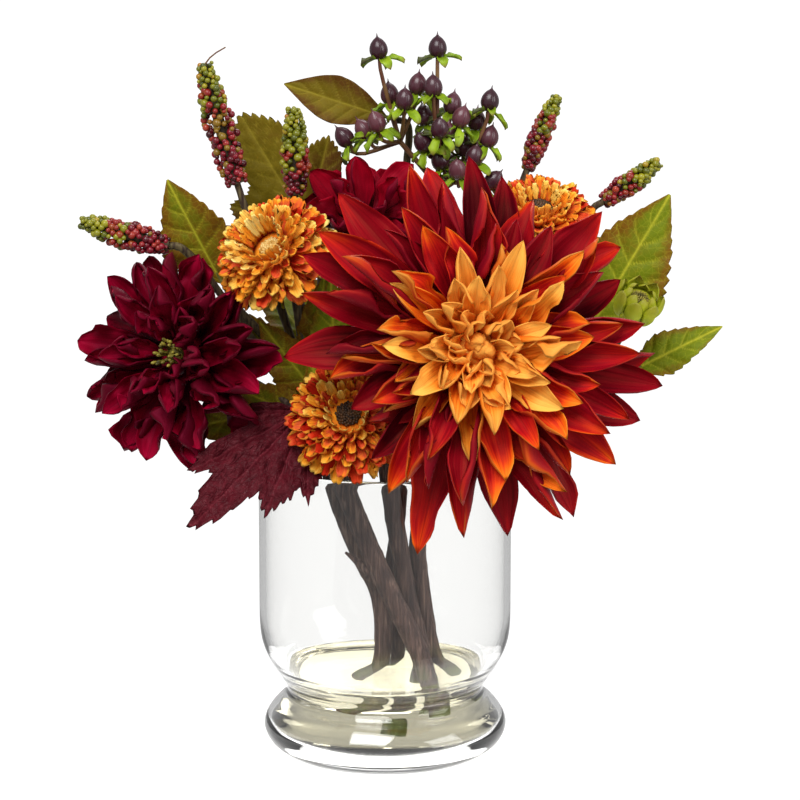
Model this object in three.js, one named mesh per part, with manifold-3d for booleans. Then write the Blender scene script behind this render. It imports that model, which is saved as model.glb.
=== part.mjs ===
// Dahlias in a jar: silk dahlias, chrysanthemums, hypericum, berry spikes and autumn leaves on five
// woody stems, which stand in clear set water in a footed glass jar.
// Millimetres, +Z up. The origin is the middle of the jar's flat bottom, and -Y is the front.
import * as THREE from "three";
import { mergeVertices } from "three/addons/utils/BufferGeometryUtils.js";
import Module from "manifold-3d";

const wasm = await Module();
wasm.setup();
const { Manifold } = wasm;

// ---------------------------------------------------------------- driving dimensions

const GAP = 0.3; // running gap between pieces that touch

const JAR_HEIGHT = 138;
const JAR_RADIUS = 58;
const JAR_SIDES = 24;
const GLASS = 3; // wall of the jar
const GLASS_FLOOR = 5; // bottom of the jar
const SHOULDER_HEIGHT = 58; // the straight wall starts here
const WAIST_RADIUS = 44;
const WAIST_HEIGHT = 28;
const FOOT_RADIUS = 57;
const FOOT_HEIGHT = 12; // widest level of the foot
const BASE_RADIUS = 49; // flat ring that the jar stands on
const WATER_LEVEL = 37.5;

const TWIG_RADIUS = 1.9; // branches that carry the blooms
const STALK_RADIUS = 1.2; // leaf stalks and spike stalks
const PETAL_THICK = 1.3;
const LEAF_THICK = 0.9;

// Where each bloom's back plate sits, the way it faces, and its turn about that axis.
const DAHLIA = { at: [37, -59, 199], faces: [0.14, -0.965, 0.21], spin: 4 };
const BURGUNDY = { at: [-89, -15, 187], faces: [-0.5, -0.83, 0.24], spin: 10 };
const RED = { at: [-9, 10, 240], faces: [0, -0.5, 0.86], spin: 20 };
const MUM_LEFT = { at: [-48, -22, 234], faces: [-0.4, -0.7, 0.59], spin: 0 };
const MUM_FRONT = { at: [-15, -43, 163], faces: [-0.1, -0.87, 0.48], spin: 12 };
const MUM_RIGHT = { at: [70, 17, 241], faces: [0.05, -0.42, 0.9], spin: 7 };

// ---------------------------------------------------------------- solids from geometry

/** A closed three.js geometry as a solid that can be joined and cut. */
function solidOf(geometry) {
  const bare = geometry.clone();
  bare.deleteAttribute("normal");
  bare.deleteAttribute("uv");
  const merged = mergeVertices(bare, 1e-4);
  const place = merged.attributes.position;
  let faces = Array.from(merged.index.array);
  faces = dropFlat(faces);
  const solid = new Manifold(new wasm.Mesh({
    numProp: 3,
    vertProperties: new Float32Array(place.array),
    triVerts: new Uint32Array(faces),
  }));
  return solid.volume() > 0 ? solid : solidFlipped(place.array, faces);
}

function dropFlat(faces) {
  const kept = [];
  for (let i = 0; i < faces.length; i += 3) {
    const [a, b, c] = faces.slice(i, i + 3);
    if (a !== b && b !== c && c !== a) kept.push(a, b, c);
  }
  return kept;
}

function solidFlipped(points, faces) {
  const turned = [];
  for (let i = 0; i < faces.length; i += 3) turned.push(faces[i], faces[i + 2], faces[i + 1]);
  return new Manifold(new wasm.Mesh({
    numProp: 3,
    vertProperties: new Float32Array(points),
    triVerts: new Uint32Array(turned),
  }));
}

/** Joins solids and drops loose scraps. */
function fuse(solids) {
  let joined = solids[0];
  for (const solid of solids.slice(1)) joined = joined.add(solid);
  let largest = null;
  for (const piece of joined.decompose()) {
    if (!largest || piece.volume() > largest.volume()) largest = piece;
  }
  return largest;
}

function geometryOf(solid) {
  const mesh = solid.getMesh();
  const geometry = new THREE.BufferGeometry();
  geometry.setAttribute("position", new THREE.BufferAttribute(mesh.vertProperties, 3));
  geometry.setIndex(new THREE.BufferAttribute(mesh.triVerts, 1));
  geometry.computeVertexNormals();
  return geometry;
}

/** Repeatable random numbers from 0 to 1. */
function makeRandom(seed) {
  let state = seed;
  return () => {
    state = (state * 1664525 + 1013904223) % 4294967296;
    return state / 4294967296;
  };
}

const rad = THREE.MathUtils.degToRad;
const vec = (p) => new THREE.Vector3(...p);

/** A frame at a point whose +Z looks along `faces`, turned by `spin` degrees about it. */
function frameAt({ at, faces, spin = 0 }) {
  const axis = vec(faces).normalize();
  const turn = new THREE.Quaternion().setFromUnitVectors(new THREE.Vector3(0, 0, 1), axis);
  turn.multiply(new THREE.Quaternion().setFromAxisAngle(new THREE.Vector3(0, 0, 1), rad(spin)));
  return new THREE.Matrix4().compose(vec(at), turn, new THREE.Vector3(1, 1, 1));
}

/** A frame whose +X runs along a blade and whose +Z is the side that the blade shows. */
function bladeFrame(at, along, shows) {
  const x = vec(along).normalize();
  const y = vec(shows).cross(x).normalize();
  const z = x.clone().cross(y);
  return new THREE.Matrix4().makeBasis(x, y, z).setPosition(vec(at));
}

// ---------------------------------------------------------------- blades

/**
 * Skins rings of points into a closed solid. A last ring of one point is a tip.
 * `forward` says of each four-sided cell which of its two diagonals splits it.
 */
function loft(rings, forward = () => true) {
  const points = rings.flat();
  const count = rings[0].length;
  const faces = [];
  for (let i = 0; i + 1 < rings.length; i++) {
    const low = i * count;
    const high = low + count;
    for (let k = 0; k < count; k++) {
      const next = (k + 1) % count;
      if (rings[i + 1].length === 1) {
        faces.push(low + k, low + next, high);
      } else if (forward(i, k)) {
        faces.push(low + k, low + next, high + next, low + k, high + next, high + k);
      } else {
        faces.push(low + k, low + next, high + k, low + next, high + next, high + k);
      }
    }
  }
  const cap = (start, flip) => {
    for (let k = 1; k + 1 < count; k++) {
      faces.push(start, start + (flip ? k + 1 : k), start + (flip ? k : k + 1));
    }
  };
  cap(0, true);
  if (rings.at(-1).length > 1) cap(points.length - count, false);
  const geometry = new THREE.BufferGeometry();
  const flat = points.flatMap((p) => p.toArray());
  geometry.setAttribute("position", new THREE.Float32BufferAttribute(flat, 3));
  geometry.setIndex(faces);
  return geometry;
}

/** Centre line and normal of a blade that leaves at `pitch` and turns by `bend` to its tip. */
function bladeSpine({ length, pitch, bend, root = 0, height = 0 }, s) {
  const start = rad(pitch);
  const turn = rad(bend) || 1e-6;
  const angle = start + turn * s;
  const x = root + (length / turn) * (Math.sin(angle) - Math.sin(start));
  const z = height + (length / turn) * (Math.cos(start) - Math.cos(angle));
  return { x, z, nx: -Math.sin(angle), nz: Math.cos(angle) };
}

// Cells split alike on both faces of a blade, from its edge below to its middle above.
const petalSplit = (row, k) => k % 2 === 0;

/**
 * A keeled petal along +X that shows its +Z side: thick at the middle and thin at the edges.
 * `fold` raises both edges, and `roll` raises one and lowers the other, so that neighbours shingle.
 */
function petal(shape) {
  const { width, fold, outline, notch = 0, thick = PETAL_THICK, roll = 0 } = shape;
  const rings = outline.map(([s, share], i) => {
    const last = i === outline.length - 1;
    const edge = bladeSpine(shape, s);
    if (last && share === 0) return [new THREE.Vector3(edge.x, 0, edge.z)];
    const mid = bladeSpine(shape, last ? s - notch : s);
    const half = (width / 2) * share;
    const side = (sign) => {
      const angle = rad(fold + sign * roll);
      const up = half * Math.sin(angle);
      return new THREE.Vector3(edge.x + edge.nx * up, sign * half * Math.cos(angle), edge.z + edge.nz * up);
    };
    const top = new THREE.Vector3(mid.x, 0, mid.z);
    const under = new THREE.Vector3(mid.x - mid.nx * thick, 0, mid.z - mid.nz * thick);
    return [side(-1), top, side(1), under];
  });
  return loft(rings, petalSplit);
}

// Half-outlines of the petals: place along the length and share of the full width.
const POINTED = [[0, 0.2], [0.3, 0.6], [0.66, 1], [1, 0]];
const BROAD = [[0, 0.2], [0.38, 0.68], [0.74, 1], [1, 0]];
const SCOOPED = [[0, 0.28], [0.66, 0.95], [1, 0.62]];
const STRAP = [[0, 0.35], [1, 1]];
const KITE = [[0, 0.3], [0.6, 1], [1, 0]];

/** Share of the length that petals keep at `turn` degrees, where some sectors have grown shorter. */
function reach(turn, sectors) {
  let share = 1;
  for (const { towards, by, spread } of sectors) {
    const off = Math.abs(((turn - towards + 540) % 360) - 180);
    if (off < spread) share -= by * Math.cos(rad((off / spread) * 90));
  }
  return share;
}

/** Rings of petals about +Z. Each petal's draw of the random numbers is in a fixed order. */
function petalRings(rings, seed, sectors = []) {
  const random = makeRandom(seed);
  const solids = [];
  for (const ring of rings) {
    for (let i = 0; i < ring.count; i++) {
      const jitter = (amount) => (random() - 0.5) * 2 * amount;
      const turn = ((i + (ring.offset ?? 0)) / ring.count) * 360 + jitter(40 / ring.count);
      const shape = {
        ...ring,
        length: ring.length * (1 + jitter(0.07)) * reach(turn, sectors),
        width: ring.width * (1 + jitter(0.1)),
        pitch: ring.pitch + jitter(ring.loose ?? 3),
        bend: ring.bend + jitter(5),
        roll: ring.roll + jitter(5),
      };
      const geometry = petal(shape).applyMatrix4(new THREE.Matrix4().makeRotationZ(rad(turn)));
      solids.push(solidOf(geometry));
    }
  }
  return solids;
}

function lathe(profile, sides) {
  const outline = profile.map(([r, z]) => new THREE.Vector2(r, z));
  return new THREE.LatheGeometry(outline, sides).rotateX(Math.PI / 2);
}

/** A flat-topped dome that petals are sunk in, from `low` to `high` on the axis. */
function core(radius, low, high, sides = 10) {
  const mid = low + (high - low) * 0.45;
  const profile = [[0, low], [radius * 0.75, low], [radius, mid], [radius * 0.7, high], [0, high]];
  return solidOf(lathe(profile, sides));
}

const placed = (solids, frame) => fuse(solids).transform(frame.toArray());

// ---------------------------------------------------------------- blooms

/** The large two-coloured dahlia: long crimson petals round a golden heart. */
const DAHLIA_OUTER = [
  { count: 14, length: 77, width: 21, pitch: 0, bend: -6, fold: 18, root: 11.5, height: 3 },
  { count: 14, length: 73, width: 21, pitch: 13, bend: -14, fold: 22, root: 11, height: 5.5, offset: 0.5 },
  { count: 12, length: 66, width: 21, pitch: 26, bend: -20, fold: 26, root: 10, height: 8.5 },
  { count: 11, length: 56, width: 19, pitch: 38, bend: -22, fold: 28, root: 9, height: 11, offset: 0.5 },
];
const DAHLIA_HEART = [
  { count: 10, length: 45, width: 15.5, pitch: 46, bend: -20, fold: 28, root: 8, height: 18 },
  { count: 9, length: 33, width: 13, pitch: 56, bend: -14, fold: 30, root: 7, height: 21, offset: 0.5 },
];
const DAHLIA_BUD = [
  { count: 6, length: 22, width: 11, pitch: 68, bend: 0, fold: 32, root: 5, height: 23 },
  { count: 4, length: 14, width: 9, pitch: 84, bend: 50, fold: 36, root: 3.5, height: 24, offset: 0.5 },
];
const DAHLIA_SHORT = [
  { towards: 220, by: 0.27, spread: 42 },
  { towards: 20, by: 0.2, spread: 16 },
  { towards: 68, by: 0.18, spread: 20 },
];
const HEART_SHORT = [{ towards: 240, by: 0.3, spread: 80 }];

function petalsOf(rings, outline, notch = 0) {
  return rings.map((ring) => ({ outline, notch, roll: 12, ...ring }));
}

function makeDahlia() {
  const frame = frameAt(DAHLIA);
  const outer = [core(14, 0, 14), ...petalRings(petalsOf(DAHLIA_OUTER, POINTED), 11, DAHLIA_SHORT)];
  const heartRings = [...petalsOf(DAHLIA_HEART, POINTED), ...petalsOf(DAHLIA_BUD, KITE)];
  const heart = [core(10.5, 14 + GAP, 27, 8), ...petalRings(heartRings, 23, HEART_SHORT)];
  return { outer: placed(outer, frame), heart: placed(heart, frame) };
}

const BURGUNDY_RINGS = [
  { count: 9, length: 41, width: 24, pitch: 0, bend: -8, fold: 20, root: 9, height: 2.5 },
  { count: 9, length: 38, width: 22, pitch: 20, bend: -12, fold: 26, root: 9, height: 4.5, offset: 0.5 },
  { count: 7, length: 30, width: 19, pitch: 42, bend: -10, fold: 30, root: 8, height: 7, outline: KITE },
  { count: 5, length: 20, width: 14, pitch: 58, bend: -4, fold: 30, root: 7, height: 8.5, outline: KITE },
];

const BURGUNDY_SHORT = [{ towards: 12, by: 0.26, spread: 40 }];

const RED_RINGS = [
  { count: 7, length: 31, width: 21, pitch: 8, bend: 4, fold: 18, root: 6, height: 2 },
  { count: 7, length: 30, width: 18, pitch: 36, bend: 2, fold: 22, root: 6, height: 4, offset: 0.5 },
  { count: 5, length: 26, width: 15, pitch: 62, bend: 4, fold: 26, root: 5, height: 6, outline: KITE },
];

const MUM_OUTER = [
  { count: 9, length: 20, width: 15, pitch: -8, bend: 8, fold: 8, root: 10, height: 3 },
  { count: 9, length: 19, width: 14, pitch: 16, bend: 4, fold: 10, root: 10, height: 5.5, offset: 0.5 },
];
const MUM_INNER = [
  { count: 8, length: 15, width: 10, pitch: 38, bend: 2, fold: 12, root: 9.5, height: 7 },
  { count: 6, length: 10, width: 7.5, pitch: 58, bend: 2, fold: 14, root: 8, height: 8, offset: 0.5 },
];
const MUM_NOTCH = 0.11; // share of a petal's length that its end is notched
const MUM_DISC_RADIUS = 6;
const MUM_DISC_HEIGHT = 3;
const MUM_CORE = [12, 0, 9.5];

/** Beaded dark disc in the middle of a chrysanthemum, standing on its core. */
function mumDisc(bloom) {
  const low = MUM_CORE[2] + GAP;
  const count = 8;
  const bead = (k, step) => ((k + step) % 2 ? 1 : 0);
  const rings = [
    ringAbout(count, always(MUM_DISC_RADIUS - 1), always(low)),
    ringAbout(count, (k) => MUM_DISC_RADIUS - 1 + bead(k, 0), always(low + MUM_DISC_HEIGHT * 0.5)),
    ringAbout(count, (k) => MUM_DISC_RADIUS * 0.62, (k) => low + MUM_DISC_HEIGHT * (0.7 + 0.3 * bead(k, 1))),
    tipTop(low + MUM_DISC_HEIGHT * 0.8),
  ];
  return placed([solidOf(loft(rings))], frameAt(bloom));
}

/** Stamens that stand in a tuft on a low button. */
function tuft(radius, low, count, length, seed) {
  const random = makeRandom(seed);
  const solids = [core(radius, low, low + radius * 0.8, 7)];
  for (let i = 0; i < count; i++) {
    const turn = (i / count) * 2 * Math.PI;
    const lean = rad(18 + 22 * random());
    const stamen = new THREE.ConeGeometry(0.8, length, 4).rotateX(Math.PI / 2);
    stamen.translate(0, 0, length / 2);
    stamen.rotateY(lean).translate(radius * 0.35, 0, low + radius * 0.2).rotateZ(turn);
    solids.push(solidOf(stamen));
  }
  return solids;
}

/** A ring of points about +Z. `reachAt` and `riseAt` give each point's radius and height. */
function ringAbout(count, reachAt, riseAt) {
  return Array.from({ length: count }, (_, k) => {
    const angle = (k / count) * 2 * Math.PI;
    return new THREE.Vector3(reachAt(k) * Math.cos(angle), reachAt(k) * Math.sin(angle), riseAt(k));
  });
}

const always = (value) => () => value;
const tipTop = (height) => [new THREE.Vector3(0, 0, height)];

/** Green cup behind a bloom, whose edge runs out in pointed sepals under the petals. */
function calyx(bloom, radius, depth, sepals) {
  const count = sepals * 2;
  const isTip = (k) => k % 2 === 0;
  const rings = [
    ringAbout(count, always(radius * 0.45), always(-depth)),
    ringAbout(count, (k) => (isTip(k) ? radius * 1.5 : radius), (k) => (isTip(k) ? -depth * 0.5 : -1.4)),
    ringAbout(count, (k) => (isTip(k) ? radius * 1.45 : radius), (k) => (isTip(k) ? -depth * 0.5 + 1 : -GAP)),
    tipTop(-GAP),
  ];
  return placed([solidOf(loft(rings))], frameAt(bloom));
}

// ---------------------------------------------------------------- leaves

const leafSplit = (row, k) => k !== 1 && k !== 4;

/** A leaf blade along +X with a folded midrib, a waved and toothed edge and one thickness. */
function leafBlade({ length, width, fold, teeth, cut, widest, bend = 0, wave = 1 }) {
  const steps = teeth * 2;
  const rings = [];
  for (let i = 0; i <= steps; i++) {
    const s = i / steps;
    const swell = s < widest ? s / widest : (1 - s) / (1 - widest);
    const share = Math.sin((Math.PI / 2) * Math.min(1, swell * 0.96 + 0.04)) * (i % 2 ? 1 : 1 - cut);
    const half = (width / 2) * share;
    const spine = bladeSpine({ length, pitch: 0, bend }, s);
    const out = half * Math.cos(rad(fold));
    const up = half * Math.sin(rad(fold));
    const ripple = wave * Math.sin(s * Math.PI * 4) * share;
    const at = (y, rise) => new THREE.Vector3(spine.x + spine.nx * rise, y, spine.z + spine.nz * rise);
    const t = LEAF_THICK / 2;
    rings.push([
      at(-out, up + ripple + t), at(0, t), at(out, up - ripple + t),
      at(out, up - ripple - t), at(0, -t), at(-out, up + ripple - t),
    ]);
  }
  return loft(rings, leafSplit);
}

/**
 * A blade of several pointed lobes that fan out from the stalk. `lobes` give each one's turn and length.
 * The edge runs through tip, teeth and the notch between lobes, and each lobe is folded at its rib.
 */
function lobedBlade({ lobes, wave, droop }) {
  const outline = [];
  const add = (turn, radius, rise) => outline.push({ turn: rad(turn), radius, rise });
  lobes.forEach(({ turn, length, spread }, i) => {
    const next = lobes[i + 1];
    if (i === 0) add(turn - spread, length * 0.45, 0.5);
    add(turn - spread * 0.55, length * 0.84, 0.8);
    add(turn, length, 0);
    add(turn + spread * 0.55, length * 0.84, 0.8);
    const notch = next ? (turn + spread + next.turn - next.spread) / 2 : turn + spread;
    add(notch, (next ? Math.min(length, next.length) : length) * (next ? 0.88 : 0.45), 0.5);
  });
  const point = ({ turn, radius, rise }, share, side) => {
    const r = radius * share;
    const z = wave * rise * share - droop * r * r + (side * LEAF_THICK) / 2;
    return [r * Math.cos(turn), r * Math.sin(turn), z];
  };
  const count = outline.length;
  const shares = [0.5, 1];
  const points = [];
  const faces = [];
  for (const side of [1, -1]) {
    points.push([0, 0, (side * LEAF_THICK) / 2]);
    for (const share of shares) for (const place of outline) points.push(point(place, share, side));
  }
  const layer = 1 + shares.length * count;
  const skin = (a, b, c, side) => {
    const base = side > 0 ? 0 : layer;
    faces.push(base + a, base + (side > 0 ? b : c), base + (side > 0 ? c : b));
  };
  for (const side of [1, -1]) {
    for (let k = 0; k + 1 < count; k++) {
      skin(0, 1 + k, 2 + k, side);
      skin(1 + k, 1 + count + k, 2 + count + k, side);
      skin(1 + k, 2 + count + k, 2 + k, side);
    }
  }
  const border = [0, ...Array.from({ length: shares.length }, (_, j) => 1 + j * count)];
  const rim = [...border, ...Array.from({ length: count - 1 }, (_, k) => layer - count + 1 + k)];
  for (let j = shares.length - 1; j > 0; j--) rim.push(j * count);
  rim.forEach((a, j) => {
    const b = rim[(j + 1) % rim.length];
    faces.push(a, layer + a, layer + b, a, layer + b, b);
  });
  const geometry = new THREE.BufferGeometry();
  geometry.setAttribute("position", new THREE.Float32BufferAttribute(points.flat(), 3));
  geometry.setIndex(faces);
  return geometry;
}

/** A stalk from -X that runs into the leaf's midrib. */
function leafStalk(length) {
  const stalk = new THREE.CylinderGeometry(STALK_RADIUS, STALK_RADIUS, length, 5);
  return solidOf(stalk.rotateZ(Math.PI / 2).translate(1.5 - length / 2, 0, 0));
}

/** A leaf on its stalk: a lobed blade where it has lobes, and otherwise one toothed blade. */
function leaf({ at, along, shows, stalk, blade }) {
  const skin = blade.lobes ? lobedBlade(blade) : leafBlade(blade);
  return placed([solidOf(skin), leafStalk(stalk)], bladeFrame(at, along, shows));
}

/** The last two points of a twig that meets a stalk or a bloom end to end. */
function seat(end, direction) {
  const way = direction.clone().normalize();
  const stop = end.clone().addScaledVector(way, -GAP);
  return [stop.clone().addScaledVector(way, -6), stop];
}

const leafSeat = ({ at, along, stalk }) =>
  seat(vec(at).addScaledVector(vec(along).normalize(), 1.5 - stalk), vec(along));

const TOOTHED = { teeth: 5, cut: 0.1, fold: 8, widest: 0.4 };

const LEAVES = {
  leaf_maroon_lobed: {
    at: [-35, -33, 166], along: [-60, -26, -50], shows: [-0.25, -0.92, 0.25], stalk: 5,
    blade: {
      wave: 3, droop: 0.0006,
      lobes: [
        { turn: -42, length: 24, spread: 14 }, { turn: -15, length: 60, spread: 12 },
        { turn: 2, length: 79, spread: 8 }, { turn: 26, length: 48, spread: 13 },
        { turn: 48, length: 39, spread: 11 }, { turn: 72, length: 33, spread: 13 },
      ],
    },
  },
  leaf_left_toothed: {
    at: [-74, 8, 216], along: [-25, -2, 48], shows: [-0.35, -0.92, -0.1], stalk: 6,
    blade: { ...TOOTHED, length: 54, width: 40 },
  },
  leaf_olive_lobed: {
    at: [-36, 40, 238], along: [-32, 0, 54], shows: [-0.1, -0.98, 0.1], stalk: 6,
    blade: {
      wave: 2, droop: 0,
      lobes: [
        { turn: -44, length: 44, spread: 26 }, { turn: 0, length: 62, spread: 28 },
        { turn: 46, length: 38, spread: 26 },
      ],
    },
  },
  leaf_brown_oval: {
    at: [1, 40, 288], along: [-47, -4, 16], shows: [0.1, -0.95, 0.25], stalk: 5,
    blade: { length: 50, width: 23, teeth: 5, cut: 0.03, fold: 14, widest: 0.52 },
  },
  leaf_right_toothed: {
    at: [92, 14, 190], along: [38, 0, 66], shows: [0.05, -0.97, 0.2], stalk: 6,
    blade: { ...TOOTHED, length: 76, width: 47, teeth: 6 },
  },
  leaf_right_small: {
    at: [112, 2, 176], along: [42, -2, 22], shows: [-0.1, -0.85, 0.5], stalk: 6,
    blade: { ...TOOTHED, length: 47, width: 22 },
  },
  leaf_middle: {
    at: [-22, -13, 172], along: [-2, -5, 46], shows: [0, -1, 0.1], stalk: 6,
    blade: { ...TOOTHED, length: 52, width: 26 },
  },
  leaf_back_left: {
    at: [-24, 42, 170], along: [-22, 16, 38], shows: [-0.3, 0.8, 0.5], stalk: 6,
    blade: { ...TOOTHED, length: 62, width: 36 },
  },
  leaf_back_right: {
    at: [36, 44, 172], along: [22, 18, 36], shows: [0.2, 0.85, 0.45], stalk: 6,
    blade: { ...TOOTHED, length: 62, width: 36 },
  },
};

// ---------------------------------------------------------------- spikes, hypericum and bud

// Each spike of small berries: its foot, its way, length, girth, sideways bow and rows of berries.
// Its lower part, up to `split` of the length, has ripened red, and the tip is green.
const SPIKES = {
  spike_tall: { at: [-67, 9, 262], along: [-14, 4, 52], length: 56, girth: 7.4, bow: 9, rows: 15, split: 9 },
  spike_left: { at: [-98, 0, 235], along: [-40, 0, 9], length: 41, girth: 6.2, bow: -2, rows: 11, split: 5 },
  spike_inner: { at: [-41, 2, 258], along: [2, 4, 38], length: 39, girth: 6.4, bow: 2, rows: 11, split: 3 },
  spike_back: { at: [66, 48, 263], along: [12, 4, 34], length: 36, girth: 5, bow: -2, rows: 10, split: 5 },
  spike_right: { at: [101, 33, 250], along: [25, 0, 17], length: 31, girth: 5.4, bow: 1, rows: 9, split: 3 },
};
const SPIKE_SIDES = 8;

/** Girth of a spike at a place along it: full low down and thin at the tip. */
const spikeGirth = (girth, s) => girth * (0.3 + 0.7 * Math.sin(Math.PI * (0.16 + 0.76 * s)));

/** A spike's berries stand out of it in rows, each one between two of the row below. */
function spikeRings({ length, girth, bow, rows }, first, last) {
  const rings = [];
  for (let row = first; row <= last; row++) {
    const s = row / rows;
    const radius = (k) => spikeGirth(girth, s) * ((row + k) % 2 ? 1 : 0.66);
    const ring = ringAbout(SPIKE_SIDES, radius, always(0));
    rings.push(ring.map((p) => new THREE.Vector3(s * length, p.x + bow * s * s, p.y)));
  }
  return rings;
}

/** Splits each cell between its two hollows, so that every berry is a peak of its own. */
const beadSplit = (firstRow) => (row, k) => (firstRow + row + k) % 2 === 1;

function makeSpike(spike) {
  const frame = bladeFrame(spike.at, spike.along, [0, -1, 0]);
  const ripe = spikeRings(spike, 0, spike.split);
  const green = spikeRings(spike, spike.split, spike.rows);
  for (const p of green[0]) p.x += GAP;
  const end = green.pop();
  green.push([new THREE.Vector3(end[0].x, spike.bow, 0)]);
  return {
    ripe: placed([solidOf(loft(ripe, beadSplit(0)))], frame),
    green: placed([solidOf(loft(green, beadSplit(spike.split)))], frame),
  };
}

const spikeSeat = ({ at, along }) => seat(vec(at), vec(along));

// Hypericum: forks of its spray, and the berries that each fork carries, by their middles.
const SPRAY_FOOT = [25, 31, 250];
const SPRAY_FORKS = [
  {
    at: [7, 30, 278], from: [25, 30, 257],
    berries: [[-3, 24, 322], [9, 22, 299], [15, 30, 305], [-4, 20, 289], [-19, 27, 281]],
  },
  {
    at: [24, 26, 279], from: SPRAY_FOOT,
    berries: [[24, 30, 322], [22, 22, 305], [31, 30, 296], [35, 22, 291], [25, 13, 287]],
  },
  {
    at: [35, 27, 262], from: [25, 30, 255],
    berries: [[48, 26, 298], [41, 22, 273], [48, 28, 281], [33, 14, 268], [25, 22, 271]],
  },
];
const BERRY_RADIUS = 4.3;
const BERRY_TALL = 10.5;
const SEPAL_REACH = 7;
const KNUCKLE = 2.4; // swelling where the spray forks

/** One teardrop berry on three drooping sepals, with its twig from the fork. */
function berry(fork, middle) {
  const rise = vec(middle).sub(vec(fork)).normalize();
  rise.z += 1.2;
  const faces = rise.normalize();
  const foot = vec(middle).addScaledVector(faces, -BERRY_TALL / 2);
  const frame = frameAt({ at: foot.toArray(), faces: faces.toArray() });
  const start = vec(fork).addScaledVector(vec(middle).sub(vec(fork)).normalize(), KNUCKLE * 0.7);
  const root = start.applyMatrix4(frame.clone().invert());
  const count = 6;
  const isSepal = (k) => k % 2 === 0;
  const sepals = (rise, reachAt) =>
    ringAbout(count, (k) => (isSepal(k) ? reachAt : 1.6), (k) => (isSepal(k) ? rise - 1.5 : rise));
  const rings = [
    ringAbout(count, always(0.9), always(0)).map((p) => p.add(root)),
    ringAbout(count, always(0.9), always(-1.6)),
    sepals(0, SEPAL_REACH),
    sepals(0.9, SEPAL_REACH - 0.3),
    ringAbout(count, always(BERRY_RADIUS), always(BERRY_TALL * 0.38)),
    ringAbout(count, always(BERRY_RADIUS * 0.72), always(BERRY_TALL * 0.75)),
    tipTop(BERRY_TALL),
  ];
  return solidOf(loft(rings)).transform(frame.toArray());
}

function makeSpray() {
  const solids = [];
  for (const { at, from, berries } of SPRAY_FORKS) {
    solids.push(rod([from, at], 1.3, 5, 1));
    solids.push(solidOf(new THREE.OctahedronGeometry(KNUCKLE).translate(...at)));
    for (const middle of berries) solids.push(berry(at, middle));
  }
  return fuse(solids);
}

const BUD = { at: [111, -12, 204], faces: [0.3, -0.5, 0.8], spin: 0 };
const BUD_RADIUS = 8;

/** A closed green flower bud: a globe wrapped in sepals that stand off at their tips. */
function makeBud() {
  const r = BUD_RADIUS;
  const sepals = 6;
  const count = sepals * 2;
  const isTip = (k) => k % 2 === 0;
  const rings = [
    ringAbout(count, always(r * 0.3), always(0)),
    ringAbout(count, (k) => r * (isTip(k) ? 0.95 : 0.85), always(r * 0.5)),
    ringAbout(count, (k) => r * (isTip(k) ? 1.08 : 0.9), always(r * 1.15)),
    ringAbout(count, (k) => r * (isTip(k) ? 0.95 : 0.7), (k) => r * (isTip(k) ? 1.95 : 1.6)),
    ringAbout(count, (k) => r * (isTip(k) ? 0.78 : 0.6), (k) => r * (isTip(k) ? 1.9 : 1.6)),
    ringAbout(count, always(r * 0.35), always(r * 1.75)),
    tipTop(r * 1.55),
  ];
  return placed([solidOf(loft(rings))], frameAt(BUD));
}

// ---------------------------------------------------------------- jar and water

/** Outer line of the jar from its bottom to its rim. */
const JAR_OUTER = [
  [BASE_RADIUS, 0], [FOOT_RADIUS - 2.5, 4.5], [FOOT_RADIUS, FOOT_HEIGHT], [FOOT_RADIUS - 4.5, 20],
  [WAIST_RADIUS, WAIST_HEIGHT - 1], [WAIST_RADIUS + 3.5, 33],
  [JAR_RADIUS - 5.5, 41], [JAR_RADIUS - 1.5, 49], [JAR_RADIUS, SHOULDER_HEIGHT],
];
/** Inner line of the jar from its floor up to where the wall is straight. */
const JAR_INNER = [
  [BASE_RADIUS - 1, GLASS_FLOOR], [FOOT_RADIUS - GLASS, FOOT_HEIGHT], [FOOT_RADIUS - 7, 18.5],
  [WAIST_RADIUS - GLASS, 26], [WAIST_RADIUS - 1.5, 31.5], [WAIST_RADIUS + 2, WATER_LEVEL],
  [JAR_RADIUS - GLASS - 2.5, 48], [JAR_RADIUS - GLASS, SHOULDER_HEIGHT],
];

function makeJar() {
  const rim = [
    [JAR_RADIUS, JAR_HEIGHT - 1], [JAR_RADIUS - 1, JAR_HEIGHT],
    [JAR_RADIUS - GLASS + 1, JAR_HEIGHT], [JAR_RADIUS - GLASS, JAR_HEIGHT - 1],
  ];
  const profile = [[0, 0], ...JAR_OUTER, ...rim, ...[...JAR_INNER].reverse(), [0, GLASS_FLOOR]];
  return solidOf(lathe(profile, JAR_SIDES));
}

function makeWater(stems) {
  const below = JAR_INNER.filter(([, z]) => z <= WATER_LEVEL);
  const side = below.map(([r, z]) => [r - GAP * 1.3, z + (z === GLASS_FLOOR ? GAP : 0)]);
  const floor = GLASS_FLOOR + GAP;
  let water = solidOf(lathe([[0, floor], ...side, [0, WATER_LEVEL]], JAR_SIDES));
  for (const stem of stems) water = water.subtract(trunkSolid(stem, GAP * 1.2));
  return water;
}

// ---------------------------------------------------------------- stems

/** A round rod along a smooth curve through the given points. */
function rod(points, radius, sides, steps) {
  const curve = new THREE.CatmullRomCurve3(points.map((p) => (p.isVector3 ? p : vec(p))));
  const section = new THREE.Shape();
  for (let k = 0; k < sides; k++) {
    const angle = (k / sides) * 2 * Math.PI;
    const [x, y] = [radius * Math.cos(angle), radius * Math.sin(angle)];
    if (k) section.lineTo(x, y);
    else section.moveTo(x, y);
  }
  section.closePath();
  return solidOf(new THREE.ExtrudeGeometry(section, { steps, extrudePath: curve, bevelEnabled: false }));
}

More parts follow.
